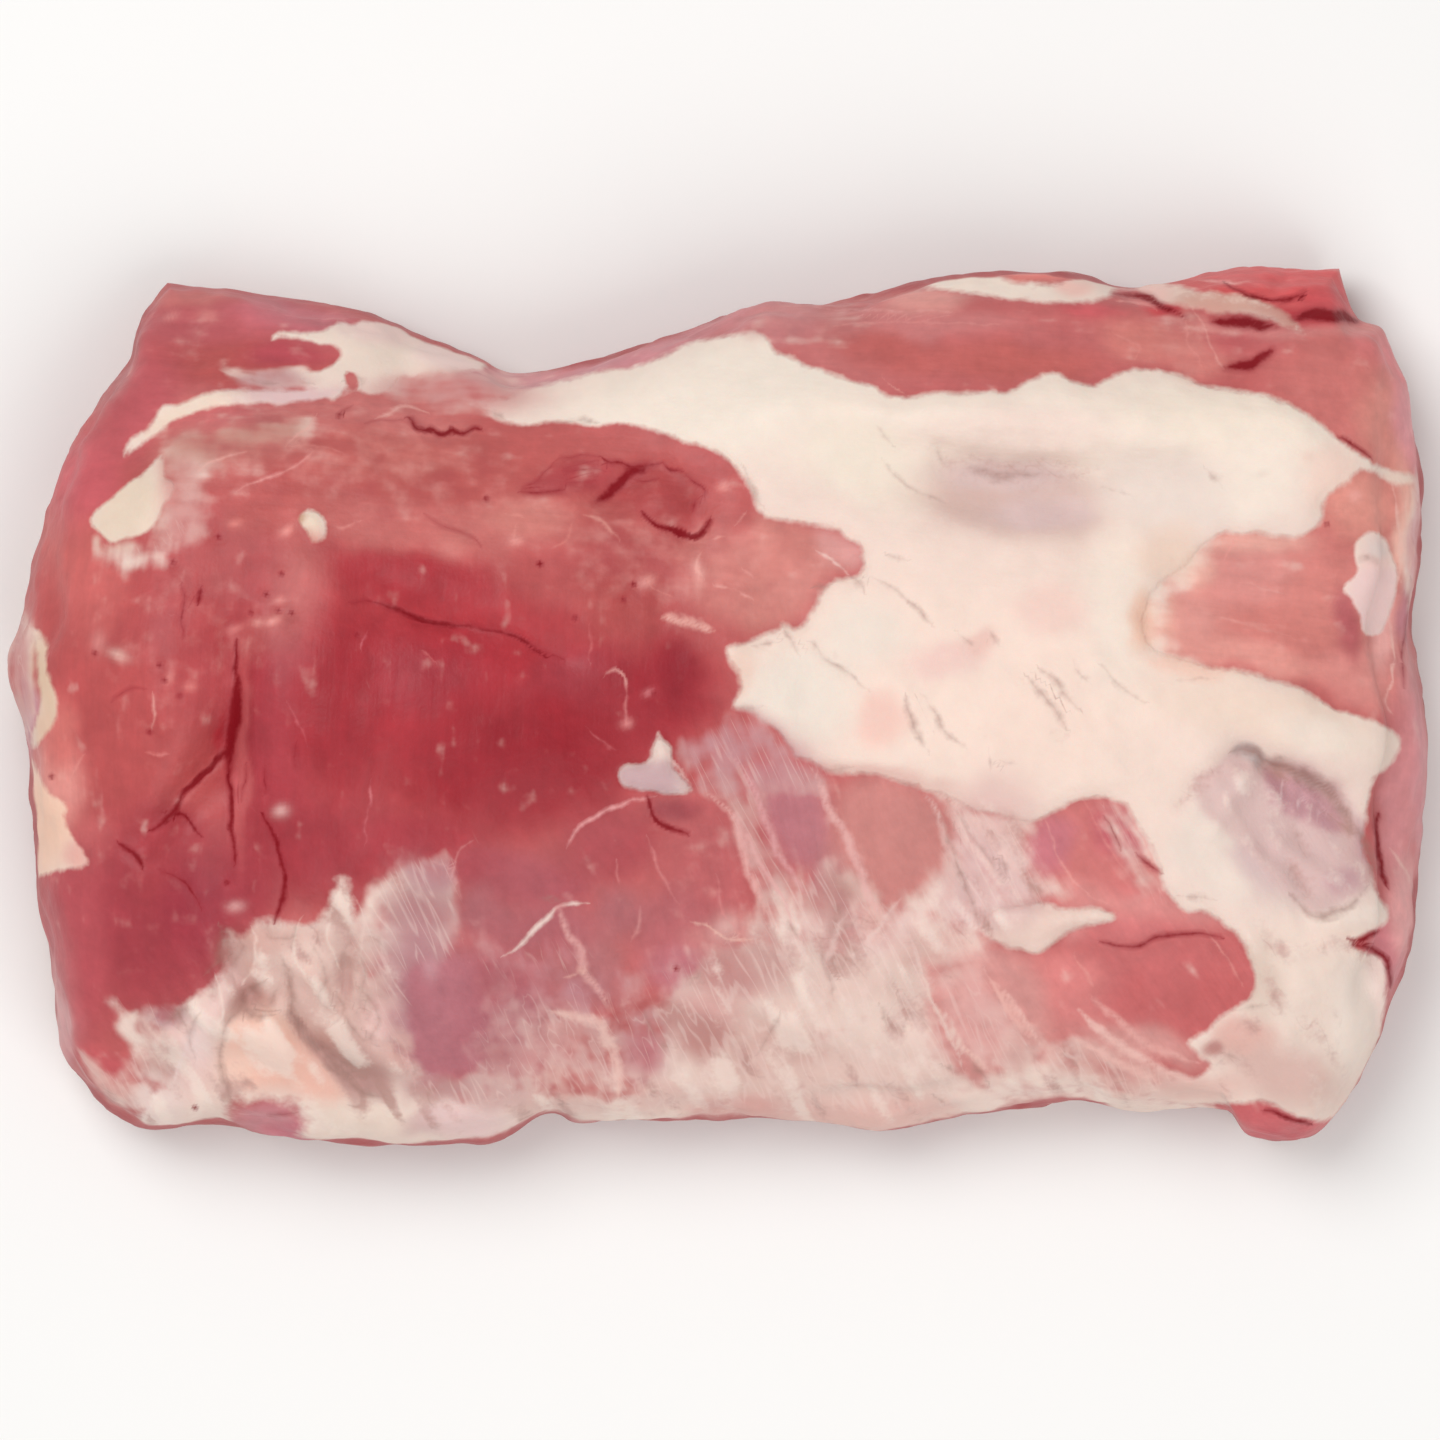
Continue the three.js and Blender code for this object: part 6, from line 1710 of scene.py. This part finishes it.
def layer_covers(tree, value):
    """How far each layer covers what is under it: name, its level, what breaks it up, from, to, the most."""
    cover = {}
    for name, level, broken, low, high, most in (
        # Pale flecks are partly tissue and partly painted wet glints.
        ("pale fleck and glint", "fleck", (("cloud", 2.0), ("blotch", 1.6), ("streak", 1.0)), 2.8, 4.2, 0.45),
        ("dark fleck", "fleck", (("cloud", -2.0), ("mottle", -2.0)), -1.4, -0.4, 0.3),
        ("skin", "veil", (("streak", 1.5), ("cloud", 1.3), ("blotch", 0.5)), 1.3, 2.65, 0.96),
        ("net", "net", (("veil", -0.05), ("cloud", 0.1), ("grain_0", 0.1)), 0.07, 0.0, 0.3),
        # Wrinkles and hollows of rumpled fat are painted shade, and its crests a painted highlight.
        ("shaded_wrinkle", "shaded_wrinkle", (("rumple", 0.1), ("ragged", 0.06)), 0.02, -0.08, 0.45),
        ("hollow", "rumple", (("blotch", 0.5), ("ragged", 0.8), ("grit", 0.4)), 0.6, -0.45, 0.7),
        ("crest_highlight", "rumple", (("blotch", 0.5), ("ragged", 0.8), ("grit", 0.4)), 1.1, 2.05, 0.6),
        ("thin fat", "fat", (("ragged", 0.9), ("blotch", 1.6)), 0.5, 1.5, 0.5),
        ("thick fat", "fat", (("ragged", 0.9), ("blotch", 1.6)), 1.1, 2.1, 1.0),
        ("sinew", "strand", (("ragged", 0.9), ("fibre", 0.3), ("blotch", 0.6)), 0.6, 1.9, 0.75),
        # The halo round a crease is painted shade, and the dark of the blood in it is partly painted shade
        # too.
        ("crease_shade_halo", "crease", (("blotch", 0.6),), -1.1, 0.7, 0.6),
        ("blood_and_shade", "crease", (("ragged", 1.0), ("grit", 0.4)), 0.2, 1.2, 0.9),
        ("shade", "shadow", (("ragged", 1.2), ("blotch", 0.8)), 0.2, 1.9, 0.8),
        ("side", "wall", (("blotch", 0.4),), 0.4, 0.9, 1.0),
        ("seam", "seam", (("ragged", 0.03), ("wall", -0.5)), -0.44, -0.47, 1.0),
    ):
        total = value[level]
        for noise, factor in broken:
            total = add_node(tree, "Math", {0: value[noise], 1: factor, 2: total}, operation="MULTIPLY_ADD")
        cover[name] = add_node(tree, "MapRange", {
            "Value": total, "From Min": low, "From Max": high, "To Max": most,
        }, interpolation_type="SMOOTHSTEP")
    return cover


def vary_tones(tree, value, tone):
    """Makes the lean and the fat a little darker and lighter from place to place: colour, noise, spread."""
    for name, noise, spread in (
        ("lean_tone", "fibre", 0.02), ("lean_tone", "streak", 0.05), ("lean_tone", "mottle", 0.07),
        ("lean_tone", "blotch", 0.03), ("lean_tone", "ragged", 0.03),
        ("pale_tone", "mottle", 0.02), ("pale_tone", "blotch", 0.015),
    ):
        gain = add_node(tree, "MapRange", {
            "Value": value[noise], "From Min": 0.3, "From Max": 0.7,
            "To Min": 1 - spread, "To Max": 1 + spread,
        })
        tone[name] = add_node(tree, "VectorMath", {0: tone[name], "Scale": gain}, operation="SCALE")


def laid_over(tree, cover, colour, layers):
    """The colour with layers over it, each as far as it covers."""
    for name, over in layers:
        colour = add_node(tree, "Mix", {
            "Factor": cover[name], MIX_UNDER: colour, MIX_OVER: over,
        }, data_type="RGBA").outputs[MIX_RESULT]
    return colour


def meat_material():
    """Raw pork, cut with a knife: wet lean fibres, silvery skin and firm white fat.

    The cut lean is moist and shines softly. The fat has set and is more matt.
    """
    material, tree = new_material("raw_pork_lean_and_fat")
    place = add_node(tree, "TexCoord").outputs["Object"]
    value, tone = stored_values(tree)
    add_fibres(tree, place, value)
    add_noises(tree, place, value)
    add_thin_lines(tree, place, value)
    cover = layer_covers(tree, value)
    vary_tones(tree, value, tone)

    # Rumpled fat: painted shade in hollows and wrinkles, painted highlights on folds. Layers go inside out.
    pale = laid_over(tree, cover, tone["pale_tone"], (
        ("hollow", linear("BF928B")), ("shaded_wrinkle", linear("B0877D")), ("crest_highlight", linear("F3E0D4")),
    ))
    colour = laid_over(tree, cover, tone["lean_tone"], (
        # Pale flecks are partly tissue and partly painted wet glints.
        ("dark fleck", linear("A8434A")), ("pale fleck and glint", linear("DB9D95")),
        ("skin", pale), ("net", linear("EBCFC6")), ("thin fat", pale), ("thick fat", pale),
        ("sinew", tone["strand_tone"]), ("side", linear("AE4A4C")), ("seam", linear("E4C2B4")),
        # A halo of painted shade round each crease, and the blood in it partly painted shade as well.
        ("crease_shade_halo", linear("9C2733")), ("blood_and_shade", linear("80101A")), ("shade", linear("9C756C")),
    ))

    # Firm fat stands about 0.2 mm over what is beside it, streaks of skin 0.1 mm, and fibres and grit less.
    height = 0.0
    for part, factor in (
        (value["fibre"], 0.3), (value["streak"], 1.0), (value["blotch"], 0.8), (value["grit"], 0.3),
        (cover["thick fat"], 0.8),
    ):
        height = add_node(tree, "Math", {0: part, 1: factor, 2: height}, operation="MULTIPLY_ADD")
    bump = add_node(tree, "Bump", {"Strength": 0.5, "Distance": 0.3 * MM, "Height": height})
    roughness = add_node(tree, "MapRange", {
        "Value": cover["thick fat"], "To Min": LEAN_ROUGHNESS, "To Max": FAT_ROUGHNESS,
    })
    # Blood lies deep in a crease, where it hardly catches the light.
    shine = add_node(tree, "MapRange", {
        "Value": cover["blood_and_shade"], "To Min": MEAT_SHINE, "To Max": BLOOD_SHINE,
    })

    shader = add_node(tree, "BsdfPrincipled", {
        "Base Color": colour,
        "Roughness": roughness,
        "IOR": 1.4,
        "Specular IOR Level": shine,
        "Subsurface Weight": 0.12,
        "Subsurface Radius": (2.4, 0.9, 0.6),
        "Subsurface Scale": MM,
        "Normal": bump,
    })
    add_node(tree, "OutputMaterial", {"Surface": shader})
    return material


def meat_piece():
    """The whole neck as one closed skin over the solid."""
    vertices, faces, triangles, down = slab_surface()
    places = ((vertices - middle) * MM).tolist()
    piece = new_piece("pork_neck_meat", places, faces.tolist() + triangles.tolist(), meat_material())
    x, y, z = vertices.T
    shown = paint(x, y)
    on_wall = smooth(WALL_FROM, WALL_TO, down + WALL_STRAY * soft_noise(x, y, z, size=22, seed=41))
    mesh = piece.data
    for name in TONES:
        add_values(mesh, name, "FLOAT_COLOR", shown[name])
    for name, least in LEAST.items():
        add_values(mesh, name, "FLOAT", shown[name] * (1 - on_wall) + least * on_wall)
    add_values(mesh, "wall", "FLOAT", on_wall)
    for number, share in enumerate(grain_weights(x, y).T):
        add_values(mesh, f"grain_{number}", "FLOAT", share)
    return piece


# The part's origin is under the middle of the outline.
place, _, _ = stations()
middle = np.append((place.min(axis=0) + place.max(axis=0)) / 2, 0)

meat = meat_piece()
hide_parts("pork_neck")
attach(meat, "root")


def floor_piece():
    """A plain pale floor."""
    half = FLOOR_HALF
    corners = [(-half, -half, 0), (half, -half, 0), (half, half, 0), (-half, half, 0)]
    material, tree = new_material("pale_studio_floor")
    shader = add_node(tree, "BsdfPrincipled", {"Base Color": linear("F4F3F1"), "Roughness": 0.9})
    add_node(tree, "OutputMaterial", {"Surface": shader})
    return new_piece("floor", corners, [(0, 1, 2, 3)], material)


floor_piece()


def add_softbox(name, at, size, power):
    """A large square lamp that faces the meat."""
    lamp = bpy.data.lights.new(name, "AREA")
    lamp.shape = "SQUARE"
    lamp.size = size
    lamp.energy = power
    box = bpy.data.objects.new(name, lamp)
    box.location = at
    box.rotation_euler = (-Vector(at)).to_track_quat("-Z", "Y").to_euler()
    box.visible_camera = False
    bpy.context.scene.collection.objects.link(box)


add_softbox("softbox_back_left", at=(-0.6, 0.6, 1.5), size=1.0, power=15)
add_softbox("softbox_front_right", at=(0.5, -0.9, 1.3), size=1.2, power=10)

world = bpy.data.worlds.new("pale_room")
world.use_nodes = True
world.node_tree.nodes["Background"].inputs["Color"].default_value = (1, 1, 1, 1)
world.node_tree.nodes["Background"].inputs["Strength"].default_value = ROOM_LIGHT
bpy.context.scene.world = world
bpy.context.scene.view_settings.view_transform = "Standard"

camera_data = bpy.data.cameras.new("camera")
camera_data.sensor_width = SENSOR_WIDTH
camera_data.lens = SENSOR_WIDTH * (CAMERA_HEIGHT - SIDE_HEIGHT) / (PIXEL * PHOTO_SIDE)
camera = bpy.data.objects.new("camera", camera_data)
camera.location = (
    ((PHOTO_SIDE / 2 - OUTLINE_ORIGIN[0]) * PIXEL - middle[0]) * MM,
    ((OUTLINE_ORIGIN[1] - PHOTO_SIDE / 2) * PIXEL - middle[1]) * MM,
    CAMERA_HEIGHT * MM,
)
bpy.context.scene.collection.objects.link(camera)
bpy.context.scene.camera = camera
